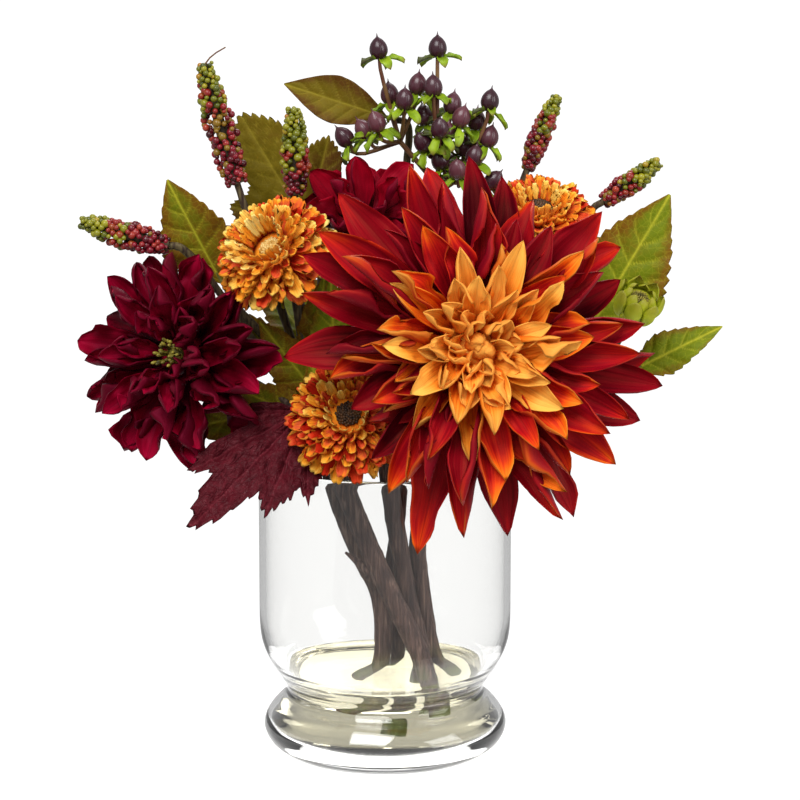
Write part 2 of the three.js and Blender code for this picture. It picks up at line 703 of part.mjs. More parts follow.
const bloomSeat = ({ at, faces }, depth) =>
  seat(vec(at).addScaledVector(vec(faces).normalize(), -depth), vec(faces));

const CALYX = { dahlia: [15, 9], burgundy: [9, 7], red: [7, 6], mum: [8, 6] };

const STEMS = {
  stem_front: {
    radius: 4.9,
    trunk: [[22, -16, 14], [18, -13, 40], [5, -12, 70], [-5, -12, 92], [-17, -13, 122], [-25, -14, 144]],
    twigs: [
      { via: [[-46, -14, 166]], to: bloomSeat(BURGUNDY, CALYX.burgundy[1]) },
      { via: [[-28, -24, 152]], to: leafSeat(LEAVES.leaf_maroon_lobed) },
    ],
  },
  stem_left: {
    radius: 4.3,
    trunk: [[-13, 3, 14], [-2, 0, 38], [-3, 0, 72], [-12, -2, 92], [-23, -2, 122], [-28, 0, 146]],
    twigs: [
      { via: [[-36, -4, 180]], to: bloomSeat(MUM_LEFT, CALYX.mum[1]) },
      { via: [[-26, 18, 156]], to: leafSeat(LEAVES.leaf_back_left) },
      { via: [[-50, 6, 185]], to: leafSeat(LEAVES.leaf_left_toothed) },
      { via: [[-30, 14, 190]], to: leafSeat(LEAVES.leaf_olive_lobed) },
      { via: [[-48, 12, 205]], to: spikeSeat(SPIKES.spike_tall) },
      { via: [[-60, 4, 190]], to: spikeSeat(SPIKES.spike_left) },
      { via: [[-34, 7, 195], [-49, 9, 232]], to: spikeSeat(SPIKES.spike_inner) },
    ],
  },
  stem_middle: {
    radius: 4.5,
    trunk: [[16, -3, 15], [17, -1, 42], [11, 0, 68], [7, -1, 92], [2, -3, 126], [0, -4, 144]],
    twigs: [
      { via: [[-6, -18, 152]], to: bloomSeat(MUM_FRONT, CALYX.mum[1]) },
      { via: [[-4, 4, 190]], to: bloomSeat(RED, CALYX.red[1]) },
      { via: [[-10, -7, 156]], to: leafSeat(LEAVES.leaf_middle) },
    ],
  },
  stem_right: {
    radius: 4.3,
    trunk: [[34, 10, 14], [22, 9, 42], [17, 9, 72], [15, 7, 92], [19, 2, 120], [25, -2, 144]],
    twigs: [
      { via: [[34, -20, 180]], to: bloomSeat(DAHLIA, CALYX.dahlia[1]) },
      { via: [[60, 4, 172]], to: leafSeat(LEAVES.leaf_right_toothed) },
      { via: [[70, -2, 160]], to: leafSeat(LEAVES.leaf_right_small) },
      { via: [[66, -2, 168], [102, 0, 186]], to: bloomSeat(BUD, 0) },
    ],
  },
  stem_back: {
    radius: 3.6,
    trunk: [[2, 22, 14], [6, 14, 40], [2, 13, 70], [5, 13, 95], [8, 14, 125], [12, 16, 146]],
    twigs: [
      { via: [[38, 18, 195]], to: bloomSeat(MUM_RIGHT, CALYX.mum[1]) },
      { via: [[22, 28, 160]], to: leafSeat(LEAVES.leaf_back_right) },
      { via: [[14, 40, 220], [10, 41, 262]], to: leafSeat(LEAVES.leaf_brown_oval) },
      { via: [[18, 26, 200]], to: seat(vec(SPRAY_FOOT), vec([0, 0, 1])) },
      { via: [[40, 44, 210], [60, 50, 240]], to: spikeSeat(SPIKES.spike_back) },
      { via: [[64, 38, 196], [92, 42, 226]], to: spikeSeat(SPIKES.spike_right) },
    ],
  },
};

function trunkSolid({ trunk, radius }, extra = 0) {
  return rod(trunk, radius + extra, 8, 7);
}

function makeStem(stem) {
  const top = vec(stem.trunk.at(-1));
  const below = top.clone().lerp(vec(stem.trunk.at(-2)), 0.15);
  const twigs = stem.twigs.map(({ via, to, radius = TWIG_RADIUS }) =>
    rod([below, ...via, ...to], radius, 5, 4));
  return fuse([trunkSolid(stem), ...twigs]);
}

// ---------------------------------------------------------------- the object

const group = new THREE.Group();

function addPiece(name, solid, color, { roughness = 0.75, metalness = 0, ...rest } = {}) {
  const material = new THREE.MeshStandardMaterial({ color, roughness, metalness, ...rest });
  const mesh = new THREE.Mesh(geometryOf(solid), material);
  mesh.name = name;
  group.add(mesh);
}

const CRIMSON = 0xa01a20;
const GOLD = 0xe88a30;
const WINE = 0x6a0a1c;
const SCARLET = 0x8e1021;
const MUM_GOLD = 0xe9a93a;
const CALYX_GREEN = 0x5f7a22;
const BARK = 0x54453a;

addPiece("jar", makeJar(), 0xdfe8e2, { roughness: 0.05, transparent: true, opacity: 0.35 });
const water = makeWater(Object.values(STEMS));
addPiece("water", water, 0xd8d6b8, { roughness: 0.05, transparent: true, opacity: 0.4 });
for (const [name, stem] of Object.entries(STEMS)) addPiece(name, makeStem(stem), BARK);

const dahlia = makeDahlia();
addPiece("dahlia_outer_petals", dahlia.outer, CRIMSON);
addPiece("dahlia_heart_petals", dahlia.heart, GOLD);
addPiece("dahlia_calyx", calyx(DAHLIA, ...CALYX.dahlia, 7), CALYX_GREEN);

const burgundyPetals = [
  core(12, 0, 9),
  ...petalRings(petalsOf(BURGUNDY_RINGS, BROAD), 31, BURGUNDY_SHORT),
];
addPiece("burgundy_petals", placed(burgundyPetals, frameAt(BURGUNDY)), WINE);
addPiece("burgundy_stamens", placed(tuft(4.5, 9 + GAP, 7, 11, 37), frameAt(BURGUNDY)), 0x8a8430);
addPiece("burgundy_calyx", calyx(BURGUNDY, ...CALYX.burgundy, 6), CALYX_GREEN);

const redPetals = [core(9, 0, 7), ...petalRings(petalsOf(RED_RINGS, BROAD), 41)];
addPiece("red_petals", placed(redPetals, frameAt(RED)), SCARLET);
addPiece("red_calyx", calyx(RED, ...CALYX.red, 6), CALYX_GREEN);

const MUMS = { left: MUM_LEFT, front: MUM_FRONT, right: MUM_RIGHT };
Object.entries(MUMS).forEach(([side, bloom], i) => {
  const rings = [...petalsOf(MUM_OUTER, SCOOPED, MUM_NOTCH), ...petalsOf(MUM_INNER, STRAP, MUM_NOTCH)];
  const petals = [core(...MUM_CORE), ...petalRings(rings, 51 + i)];
  addPiece(`mum_${side}_petals`, placed(petals, frameAt(bloom)), MUM_GOLD);
  addPiece(`mum_${side}_disc`, mumDisc(bloom), 0x3a2a18);
  addPiece(`mum_${side}_calyx`, calyx(bloom, ...CALYX.mum, 6), CALYX_GREEN);
});

const LEAF_COLOURS = {
  leaf_maroon_lobed: 0x5a1a24,
  leaf_left_toothed: 0x7d8418,
  leaf_olive_lobed: 0x7a6a18,
  leaf_brown_oval: 0x7a5a14,
  leaf_right_toothed: 0x7d8a18,
  leaf_right_small: 0x7d8a18,
  leaf_middle: 0x4c5a1c,
  leaf_back_left: 0x6f7c1c,
  leaf_back_right: 0x6f7c1c,
};
for (const [name, shape] of Object.entries(LEAVES)) addPiece(name, leaf(shape), LEAF_COLOURS[name]);

for (const [name, shape] of Object.entries(SPIKES)) {
  const { ripe, green } = makeSpike(shape);
  addPiece(`${name}_ripe`, ripe, 0x9a2430, { roughness: 0.5 });
  addPiece(`${name}_green`, green, 0x7f8a28, { roughness: 0.5 });
}
addPiece("hypericum_spray", makeSpray(), 0x4a2430, { roughness: 0.4 });
addPiece("bud", makeBud(), 0xa5c11a);

export default group;
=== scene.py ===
"""Dresses the jar of silk dahlias: fine petals, leaves, berries, bark, set water and glass."""
import math
from collections import namedtuple

import bmesh
import bpy
import numpy as np
from mathutils import Matrix, Vector


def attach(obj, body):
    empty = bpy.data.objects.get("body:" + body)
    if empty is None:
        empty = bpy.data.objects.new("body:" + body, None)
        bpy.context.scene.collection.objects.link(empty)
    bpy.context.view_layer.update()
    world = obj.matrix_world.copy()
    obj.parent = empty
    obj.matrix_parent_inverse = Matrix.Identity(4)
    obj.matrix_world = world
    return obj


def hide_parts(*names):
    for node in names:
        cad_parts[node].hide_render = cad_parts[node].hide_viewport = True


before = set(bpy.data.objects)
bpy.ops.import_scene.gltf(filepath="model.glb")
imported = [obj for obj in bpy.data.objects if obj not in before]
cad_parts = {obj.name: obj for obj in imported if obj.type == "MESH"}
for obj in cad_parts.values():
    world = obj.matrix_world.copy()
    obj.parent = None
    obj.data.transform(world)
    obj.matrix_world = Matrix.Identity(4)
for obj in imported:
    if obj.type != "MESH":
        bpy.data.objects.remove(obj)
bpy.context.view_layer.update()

bl_info = {
    "name": "Dahlias in a jar",
    "version": (1, 0, 0),
    "blender": (4, 5, 0),
    "location": "3D View > Sidebar > Bouquet",
    "description": "Dresses a jar of silk dahlias with petals, leaves, berries, bark and glass",
    "category": "Object",
}

MM = 0.001
MERGE_WITHIN = 3e-6  # metres, for points of a mesh that fall together
GOLDEN_TURN = 2.39996  # radians from one seed or berry to the next round a head
FRONT = (0, -1, 0)

# ---------------------------------------------------------------- the arrangement, in millimetres

# Each bloom's back plate: its place, the way that it faces, and its turn about that way in degrees.
BLOOMS = {
    "dahlia": ((37, -59, 199), (0.14, -0.965, 0.21), 4),
    "burgundy": ((-89, -15, 187), (-0.5, -0.83, 0.24), 10),
    "red": ((-9, 10, 240), (0, -0.5, 0.86), 20),
    "mum_left": ((-48, -22, 234), (-0.4, -0.7, 0.59), 0),
    "mum_front": ((-15, -43, 163), (-0.1, -0.87, 0.48), 12),
    "mum_right": ((70, 17, 241), (0.05, -0.42, 0.9), 7),
}
# The green cup behind each bloom: radius, depth and number of sepals.
CALYX = {"dahlia": (15, 9, 7), "burgundy": (9, 7, 6), "red": (7, 6, 6), "mum": (8, 6, 6)}

# Rings of petals: how many, length, width, pitch, bend, fold, radius and height of their roots, how far
# round the ring starts in steps, how golden the petals are, and how strongly their tips flick.
Ring = namedtuple("Ring", "count length width pitch bend fold root height step gold flick")
DAHLIA_OUTER = [
    (14, 77, 21, 0, -6, 18, 11.5, 3, 0, 0.0, -12),
    (14, 73, 21, 13, -14, 22, 11, 5.5, 0.5, 0.06, -16),
    (12, 66, 21, 26, -20, 26, 10, 8.5, 0, 0.12, -14),
    (11, 55, 19, 33, -20, 28, 9, 9.4, 0.5, 0.34, -10),
]
DAHLIA_BETWEEN = [
    (12, 62, 18, 20, -16, 26, 11, 7, 0.3, 0.12, -18),
    (11, 49, 17, 39, -20, 26, 9, 11.5, 0.2, 0.54, -12),
]
DAHLIA_HEART = [
    (10, 45, 16, 44, -20, 24, 8, 18, 0, 0.78, -8),
    (9, 32, 14, 52, -14, 26, 7, 20, 0.5, 0.88, -6),
    (6, 20, 12, 64, 0, 28, 5, 22, 0, 0.96, 16),
    (5, 15, 13, 78, 62, 36, 4.6, 24, 0.5, 1.0, 40),
    (5, 13, 12, 84, 74, 38, 3.4, 24.5, 0, 0.98, 40),
]
HEART_BETWEEN = [
    (10, 35, 14, 45, -14, 26, 7.5, 19, 0.2, 0.9, 4),
    (9, 22, 13, 56, 0, 30, 6, 21, 0.3, 0.98, 24),
]
BURGUNDY = [
    (9, 43, 22, 0, -8, 24, 9, 2.5, 0, 0.15, 14),
    (9, 40, 20, 20, -12, 30, 9, 4.5, 0.5, 0.35, 10),
    (7, 32, 18, 42, -10, 32, 8, 7, 0, 0.55, 14),
    (5, 22, 13, 58, -4, 32, 7, 8.5, 0, 0.75, 20),
]
BURGUNDY_BETWEEN = [
    (9, 43, 20, 10, -8, 34, 8.5, 4, 0.2, 0.4, -8),
    (8, 37, 17, 32, -8, 36, 8.5, 6, 0.3, 0.45, 16),
    (6, 26, 13, 52, 4, 36, 7.5, 8, 0.4, 0.85, 20),
]
RED = [
    (7, 31, 21, 8, 4, 18, 6, 2, 0, 0.2, -8),
    (7, 30, 18, 36, 2, 22, 6, 4, 0.5, 0.5, -10),
    (5, 26, 15, 62, 4, 26, 5, 6, 0, 0.7, -6),
]
RED_BETWEEN = [(7, 28, 16, 22, 4, 24, 6, 3, 0.3, 0.4, -10)]
MUM = [
    (18, 21, 8.6, -14, 12, 14, 10, 3, 0, 0.62, -6),
    (18, 19.5, 8.0, -2, 12, 16, 10, 4, 0.5, 0.3, -4),
    (19, 17.5, 7.2, 9, 12, 18, 10, 5, 0.2, 0.56, -6),
    (19, 15.5, 6.4, 21, 10, 18, 9.8, 6, 0.6, 0.24, -6),
    (18, 13.5, 5.6, 34, 8, 18, 9.4, 7, 0, 0.54, -8),
    (18, 11, 4.8, 52, 6, 18, 8.8, 8, 0.4, 0.7, -14),
    (17, 9, 3.8, 74, 6, 16, 7.6, 9, 0.5, 0.95, -20),
]
# Where petals have grown shorter: the direction in degrees, the share lost there, and how far it spreads.
DAHLIA_SHORT = [(213, 0.38, 40), (20, 0.2, 16), (68, 0.18, 20)]
HEART_SHORT = [(240, 0.3, 80)]
BURGUNDY_SHORT = [(12, 0.26, 40)]

# Each chrysanthemum: how much redder than the rings say, and how deep its cup is sunk.
MUMS = {"mum_left": (0.05, 4), "mum_front": (0.27, 0), "mum_right": (0.1, 0)}
MUM_DISC = 5.6  # radius of the disc

# Leaves: foot of the blade, way, side that shows, stalk, length, width, teeth, and how brown they are.
LEAVES = {
    "leaf_left_toothed": ((-74, 8, 216), (-25, -2, 48), (-0.35, -0.92, -0.1), 6, 54, 40, 11, 0.8),
    "leaf_right_toothed": ((92, 14, 190), (38, 0, 66), (0.05, -0.97, 0.2), 6, 76, 47, 14, 0.5),
    "leaf_right_small": ((112, 2, 176), (42, -2, 22), (-0.1, -0.85, 0.5), 6, 47, 22, 10, 0.25),
    "leaf_middle": ((-22, -13, 172), (-2, -5, 46), (0, -1, 0.1), 6, 52, 26, 10, 0.1),
    "leaf_back_left": ((-24, 42, 170), (-22, 16, 38), (-0.3, 0.8, 0.5), 6, 62, 36, 12, 0.35),
    "leaf_back_right": ((36, 44, 172), (22, 18, 36), (0.2, 0.85, 0.45), 6, 62, 36, 12, 0.3),
    "leaf_brown_oval": ((1, 40, 288), (-47, -4, 16), (0.1, -0.95, 0.25), 5, 50, 23, 0, 0.5),
}
# Lobed leaves: foot, way, side that shows, stalk, wave, droop, and lobes by direction, length and spread.
LOBED = {
    "leaf_maroon_lobed": (
        (-35, -33, 166), (-60, -26, -50), (-0.25, -0.92, 0.25), 5, 3, 0.0006,
        [(-42, 30, 14), (-15, 62, 12), (3, 79, 12), (26, 55, 14), (48, 45, 12), (72, 35, 13)],
    ),
    "leaf_olive_lobed": (
        (-36, 40, 238), (-32, 0, 54), (-0.1, -0.98, 0.1), 6, 2, 0,
        [(-44, 44, 26), (0, 62, 28), (46, 38, 26)],
    ),
}
STALK_FOOT = 1.5  # how much of a leaf's stalk is sunk in its twig

# Spikes of small berries: foot, way, length, girth, sideways bow, and the share of it that is ripe.
SPIKES = {
    "spike_tall": ((-67, 9, 262), (-16, 4, 52), 56, 7.0, -2, 9 / 15),
    "spike_left": ((-98, 0, 235), (-40, 0, 9), 41, 6.2, -2, 5 / 11),
    "spike_inner": ((-41, 2, 258), (2, 4, 38), 39, 6.4, 2, 3 / 11),
    "spike_back": ((66, 48, 263), (12, 4, 34), 36, 5, -2, 5 / 10),
    "spike_right": ((101, 33, 250), (25, 0, 17), 31, 5.4, 1, 3 / 9),
}
WIRED_SPIKE = "spike_tall"  # a bare wire stands out of its tip

# Hypericum: each fork of the spray, where it starts, and the middles of its berries.
SPRAY_FOOT = (25, 31, 250)
SPRAY = [
    ((7, 30, 278), (25, 30, 257), [
        (-3, 24, 322), (9, 22, 299), (15, 30, 305), (-4, 20, 289), (-19, 27, 281), (2, 34, 300),
        (-10, 30, 284)]),
    ((24, 26, 279), SPRAY_FOOT, [
        (24, 30, 322), (22, 22, 305), (31, 30, 296), (35, 22, 291), (25, 13, 287), (18, 34, 290),
        (28, 22, 284), (17, 18, 280)]),
    ((35, 27, 262), (25, 30, 255), [
        (48, 26, 298), (41, 22, 273), (48, 28, 281), (33, 14, 268), (25, 22, 271), (42, 34, 288),
        (36, 34, 276), (50, 20, 262), (30, 34, 268)]),
]
BUD = ((111, -12, 204), (0.3, -0.5, 0.8), 0)

# Small leaves along the twigs of each stem: foot, way, side that shows, length and width.
TWIG_LEAVES = {
    "stem_left": [
        ((-30, -6, 166), (-22, -6, 30), (-0.3, -0.9, 0.3), 46, 25),
        ((-32, -4, 180), (4, -4, 34), (0.1, -0.95, 0.2), 44, 22),
        ((-46, 6, 182), (-34, 8, 16), (-0.3, -0.8, 0.5), 44, 24),
        ((-34, 12, 186), (-16, 22, 18), (-0.5, 0.7, 0.5), 46, 25),
        ((-46, 10, 204), (-26, 14, 22), (-0.5, 0.6, 0.5), 42, 22),
    ],
    "stem_front": [
        ((-34, -12, 156), (-26, -8, 14), (-0.2, -0.85, 0.5), 40, 22),
        ((-26, -18, 152), (-6, -6, 30), (0, -0.95, 0.2), 38, 20),
        ((-42, -14, 164), (-40, -3, -9), (-0.1, -0.95, 0.25), 52, 27),
    ],
    "stem_middle": [
        ((-4, 0, 176), (-14, 10, 34), (-0.2, 0.9, 0.3), 46, 24),
        ((0, 2, 160), (4, 20, 36), (0, 0.9, 0.3), 48, 26),
    ],
    "stem_right": [
        ((44, -6, 172), (30, 10, 26), (0.3, 0.8, 0.5), 48, 25),
        ((56, 2, 174), (20, 24, 20), (0.3, 0.7, 0.6), 44, 24),
    ],
    "stem_back": [
        ((20, 26, 196), (-18, 14, 32), (-0.2, 0.9, 0.4), 46, 24),
        ((26, 22, 186), (30, 22, 26), (0.3, 0.8, 0.5), 50, 26),
        ((38, 40, 208), (20, 12, 34), (0.1, 0.95, 0.3), 44, 24),
        ((14, 38, 216), (-16, 10, 34), (-0.2, 0.9, 0.3), 44, 22),
    ],
}

# Stems: radius, trunk, and the twigs that leave it, as points on the way and what they carry.
STEMS = {
    "stem_front": (
        4.9, [(22, -16, 14), (18, -13, 40), (5, -12, 70), (-5, -12, 92), (-17, -13, 122), (-25, -14, 144)], [
            ([(-46, -14, 166)], "burgundy"),
            ([(-28, -24, 152)], "leaf_maroon_lobed"),
        ]),
    "stem_left": (
        4.3, [(-13, 3, 14), (-2, 0, 38), (-3, 0, 72), (-12, -2, 92), (-23, -2, 122), (-28, 0, 146)], [
            ([(-36, -4, 180)], "mum_left"),
            ([(-26, 18, 156)], "leaf_back_left"),
            ([(-50, 6, 185)], "leaf_left_toothed"),
            ([(-30, 14, 190)], "leaf_olive_lobed"),
            ([(-48, 12, 205)], "spike_tall"),
            ([(-60, 4, 190)], "spike_left"),
            ([(-34, 7, 195), (-49, 9, 232)], "spike_inner"),
        ]),
    "stem_middle": (
        4.5, [(16, -3, 15), (17, -1, 42), (11, 0, 68), (7, -1, 92), (2, -3, 126), (0, -4, 144)], [
            ([(-6, -18, 152)], "mum_front"),
            ([(-4, 4, 190)], "red"),
            ([(-10, -7, 156)], "leaf_middle"),
        ]),
    "stem_right": (
        4.3, [(34, 10, 14), (22, 9, 42), (17, 9, 72), (15, 7, 92), (19, 2, 120), (25, -2, 144)], [
            ([(34, -20, 180)], "dahlia"),
            ([(60, 4, 172)], "leaf_right_toothed"),
            ([(70, -2, 160)], "leaf_right_small"),
            ([(66, -2, 168), (102, 0, 186)], "bud"),
        ]),
    "stem_back": (
        3.6, [(2, 22, 14), (6, 14, 40), (2, 13, 70), (5, 13, 95), (8, 14, 125), (12, 16, 146)], [
            ([(38, 18, 195)], "mum_right"),
            ([(22, 28, 160)], "leaf_back_right"),
            ([(14, 40, 220), (10, 41, 262)], "leaf_brown_oval"),
            ([(18, 26, 200)], "spray"),
            ([(40, 44, 210), (60, 50, 240)], "spike_back"),
            ([(64, 38, 196), (92, 42, 226)], "spike_right"),
        ]),
}
TWIG_RADII = (1.9, 1.7)  # where a twig leaves its trunk, and where it ends
SEAT_RUN, SEAT_DEPTH = 6.3, 0.2  # straight end of a twig, and how deep it goes into what it carries
# The stub of a broken twig on the front stem: its line and its radii.
BROKEN_TWIG = ([(-7, -12, 86), (-12.5, -12.4, 90.5), (-18, -12.8, 95)], [2.6, 1.7, 0.6])

# The jar's outside below its shoulder: radius and height.
JAR_FOOT_AND_WAIST = [
    (49, 0), (54.5, 4.5), (57, 12), (52.5, 20), (44, 27), (47.5, 33), (52.5, 41), (56.5, 49)]
JAR_SHOULDER = 58  # height from which the wall is straight
JAR_WALL_MARKS = (75, 100)  # heights of two rings on the straight wall
JAR_SIDES = 128

# ---------------------------------------------------------------- the stage, in metres

FLOOR_RADIUS = 0.13
LIGHT_TARGET = (0, 0, 0.17)
# Area lights: name, place, size, and the setting that holds their power.
LIGHTS = (
    ("key light", (-0.5, -1.5, 1.9), 1.4, "key"),
    ("fill light", (1.7, -0.9, 0.9), 1.2, "fill"),
    ("back light", (0.2, 1.3, 1.7), 1.2, "fill"),
)
CAMERA_AT = (0.006916, -1.7605, 0.5383)
CAMERA_LOOKS = (0, 0.97807, -0.20831)
CAMERA_SENSOR_MM = 36.0

# ---------------------------------------------------------------- placing

def frame_at(at, faces, spin=0):
    """Matrix whose +Z looks along `faces` from the point `at`."""
    turn = Vector((0, 0, 1)).rotation_difference(Vector(faces).normalized())
    return Matrix.Translation(at) @ turn.to_matrix().to_4x4() @ Matrix.Rotation(math.radians(spin), 4, "Z")


def blade_frame(at, along, shows):
    """Matrix whose +X runs along a blade and whose +Z is the side that it shows."""
    x = Vector(along).normalized()
    y = Vector(shows).cross(x).normalized()
    return Matrix.Translation(at) @ Matrix((x, y, x.cross(y))).transposed().to_4x4()


def draws(seed):
    """Repeatable random numbers from 0 to 1, the same ones that placed the solid petals."""
    factor, addend, span = 1664525, 1013904223, 2 ** 32
    state = seed
    while True:
        state = (state * factor + addend) % span
        yield state / span


def smooth_line(points, count):
    """Points on a smooth curve through the given ones, without overshoot at uneven spacing."""
    p = [np.array(q, float) for q in points]
    last = len(p) - 1
    out = []
    for place in np.linspace(0, last, count):
        i = min(int(place), last - 1)
        w = place - i
        before = p[i - 1] if i > 0 else 2 * p[0] - p[1]
        after = p[i + 2] if i + 2 <= last else 2 * p[last] - p[last - 1]
        four = [before, p[i], p[i + 1], after]
        d = [max(np.linalg.norm(four[k + 1] - four[k]) ** 0.5, 1e-3) for k in range(3)]
        leave = (p[i] - before) / d[0] - (p[i + 1] - before) / (d[0] + d[1]) + (p[i + 1] - p[i]) / d[1]
        meet = (p[i + 1] - p[i]) / d[1] - (after - p[i]) / (d[1] + d[2]) + (after - p[i + 1]) / d[2]
        leave, meet = leave * d[1], meet * d[1]
        a = -3 * p[i] + 3 * p[i + 1] - 2 * leave - meet
        b = 2 * p[i] - 2 * p[i + 1] + leave + meet
        out.append(p[i] + leave * w + a * w * w + b * w ** 3)
    return np.array(out)


# ---------------------------------------------------------------- meshes

def mesh_of(name, points, faces, uv=None, back=None, values=None):
    """A mesh from points in millimetres, with its doubles merged."""
    mesh = bpy.data.meshes.new(name)
    mesh.from_pydata((np.asarray(points) * MM).tolist(), [], faces)
    if uv is not None:
        layer = mesh.uv_layers.new(name="UVMap")
        corners = np.empty(len(mesh.loops), dtype=np.int32)
        mesh.loops.foreach_get("vertex_index", corners)
        layer.data.foreach_set("uv", np.asarray(uv)[corners].astype(np.float32).ravel())
    if back is not None:
        mesh.attributes.new("back", "FLOAT", "FACE").data.foreach_set("value", back)
    for key, field in (values or {}).items():
        mesh.attributes.new(key, "FLOAT", "POINT").data.foreach_set("value", np.asarray(field, np.float32))
    work = bmesh.new()
    work.from_mesh(mesh)
    bmesh.ops.remove_doubles(work, verts=work.verts, dist=MERGE_WITHIN)
    for face in work.faces:
        face.smooth = True
    work.to_mesh(mesh)
    work.free()
    return mesh


def two_skins(name, top, under, values=None):
    """A closed blade of two skins, given as rows by columns of points, that meet at its edges."""
    rows, cols = top.shape[:2]
    count = rows * cols
    points = np.concatenate([top.reshape(-1, 3), under.reshape(-1, 3)])
    u, v = np.meshgrid(np.linspace(0, 1, cols), np.linspace(0, 1, rows))
    uv = np.tile(np.stack([u.ravel(), v.ravel()], 1), (2, 1))
    faces, back = [], []
    for i in range(rows - 1):
        for k in range(cols - 1):
            a = i * cols + k
            cell = (a, a + cols, a + cols + 1, a + 1)
            faces += [cell, tuple(count + c for c in reversed(cell))]
            back += [0.0, 1.0]
    rim = list(range(cols))
    rim += [i * cols + cols - 1 for i in range(1, rows)]
    rim += [(rows - 1) * cols + k for k in range(cols - 2, -1, -1)]
    rim += [i * cols for i in range(rows - 2, 0, -1)]
    for a, b in zip(rim, rim[1:] + rim[:1]):
        faces.append((a, b, count + b, count + a))
        back.append(0.0)
    both = {key: np.tile(np.asarray(field).ravel(), 2) for key, field in (values or {}).items()}
    return mesh_of(name, points, faces, uv, back, both)


def turned(name, profile, sides, flute=0.0, lobes=0):
    """A turned body from a profile of (radius, height) that starts and ends on the axis."""
    profile = np.array(profile, float)
    turn = np.linspace(0, 2 * math.pi, sides, endpoint=False)
    swell = 1 + flute * np.cos(lobes * turn)
    r = profile[:, 0][:, None] * swell
    z = np.repeat(profile[:, 1][:, None], sides, 1)
    points = np.stack([r * np.cos(turn), r * np.sin(turn), z], -1).reshape(-1, 3)
    rows = len(profile)
    uv = np.stack([np.tile(turn / (2 * math.pi), rows), np.repeat(np.linspace(0, 1, rows), sides)], 1)
    faces = []
    for i in range(len(profile) - 1):
        for k in range(sides):
            n = (k + 1) % sides
            faces.append((i * sides + k, i * sides + n, (i + 1) * sides + n, (i + 1) * sides + k))
    return mesh_of(name, points, faces, uv)


def round_off(line, times=3):
    """Cuts the corners of a polyline again and again, and keeps its ends."""
    line = np.array(line, float)
    for _ in range(times):
        low = line[:-1] * 0.75 + line[1:] * 0.25
        high = line[:-1] * 0.25 + line[1:] * 0.75
        between = np.stack([low, high], 1).reshape(-1, line.shape[1])
        line = np.concatenate([line[:1], between[1:-1], line[-1:]])
    return line


# Half widths of a petal from root to tip, as shares of its widest.
POINTED = lambda s: 0.2 * (1 - s) ** 3 + s ** 1.3 * (1 - s) ** 0.87 / 0.2325
OVATE = lambda s: 0.2 * (1 - s) ** 3 + s ** 1.28 * (1 - s) ** 0.72 / 0.2707
SPOON = lambda s: 0.28 + 0.72 * np.sin(math.pi * (0.02 + 0.72 * s))


def petal(name, length, width, outline, bend, fold, flick=0.0, curl=0.4, twist=0.0, wave=0.0,
          notch=0.0, thick=0.9, rows=14, cols=8, phase=0.0, sway=0.0):
    """One petal along +X from its root, cupped towards +Z, with a rolled edge and a keel."""
    s = np.linspace(0, 1, rows + 1)
    t = np.linspace(-1, 1, cols + 1)
    slope = np.radians(bend * s + flick * np.clip((s - 0.6) / 0.4, 0, 1) ** 2)
    step = (slope[1:] + slope[:-1]) / 2
    x = np.concatenate([[0], np.cumsum(np.cos(step))]) * length / rows
    z = np.concatenate([[0], np.cumsum(np.sin(step))]) * length / rows
    S, T = np.meshgrid(s, t, indexing="ij")
    half = width / 2 * outline(S)
    arc = np.radians(1.75 * fold) * (1 + curl * S ** 2) * (1 + 0.25 * T ** 2)
    across = half * np.sin(arc * T) / arc
    lift = half * (1 - np.cos(arc * T)) / arc
    lift = lift + half * wave * np.sin(2 * math.pi * (2.2 * S + phase) + 1.9 * T) * T ** 2
    lift = lift + half * wave * 0.4 * np.sin(2 * math.pi * (4.1 * S - phase) - 2.6 * T) * np.abs(T)
    lift = lift - 0.1 * half * np.exp(-(T / 0.16) ** 2)
    lift = lift + 0.05 * half * np.cos(4.6 * math.pi * T) * (1 - S ** 4)
    turn = np.radians(twist) * S ** 1.5
    y = across * np.cos(turn) - lift * np.sin(turn) + length * sway * S ** 2
    rise = across * np.sin(turn) + lift * np.cos(turn)
    short = S - S ** 7 * (notch * (1 - np.abs(T)) + (0.34 * T ** 4 if notch else 0))
    cx, cz, ca = (np.interp(short, s, line) for line in (x, z, slope))
    depth = thick * np.sqrt(1 - T ** 2) * np.minimum(1, (1 - S) * 6) * np.minimum(1, half / 2.5)
    side = arc * T + turn
    sheet = lambda w, across: np.stack([cx - np.sin(ca) * w, across, cz + np.cos(ca) * w], -1)
    return two_skins(name, sheet(rise, y), sheet(rise - depth * np.cos(side), y + depth * np.sin(side)))


# ---------------------------------------------------------------- geometry nodes

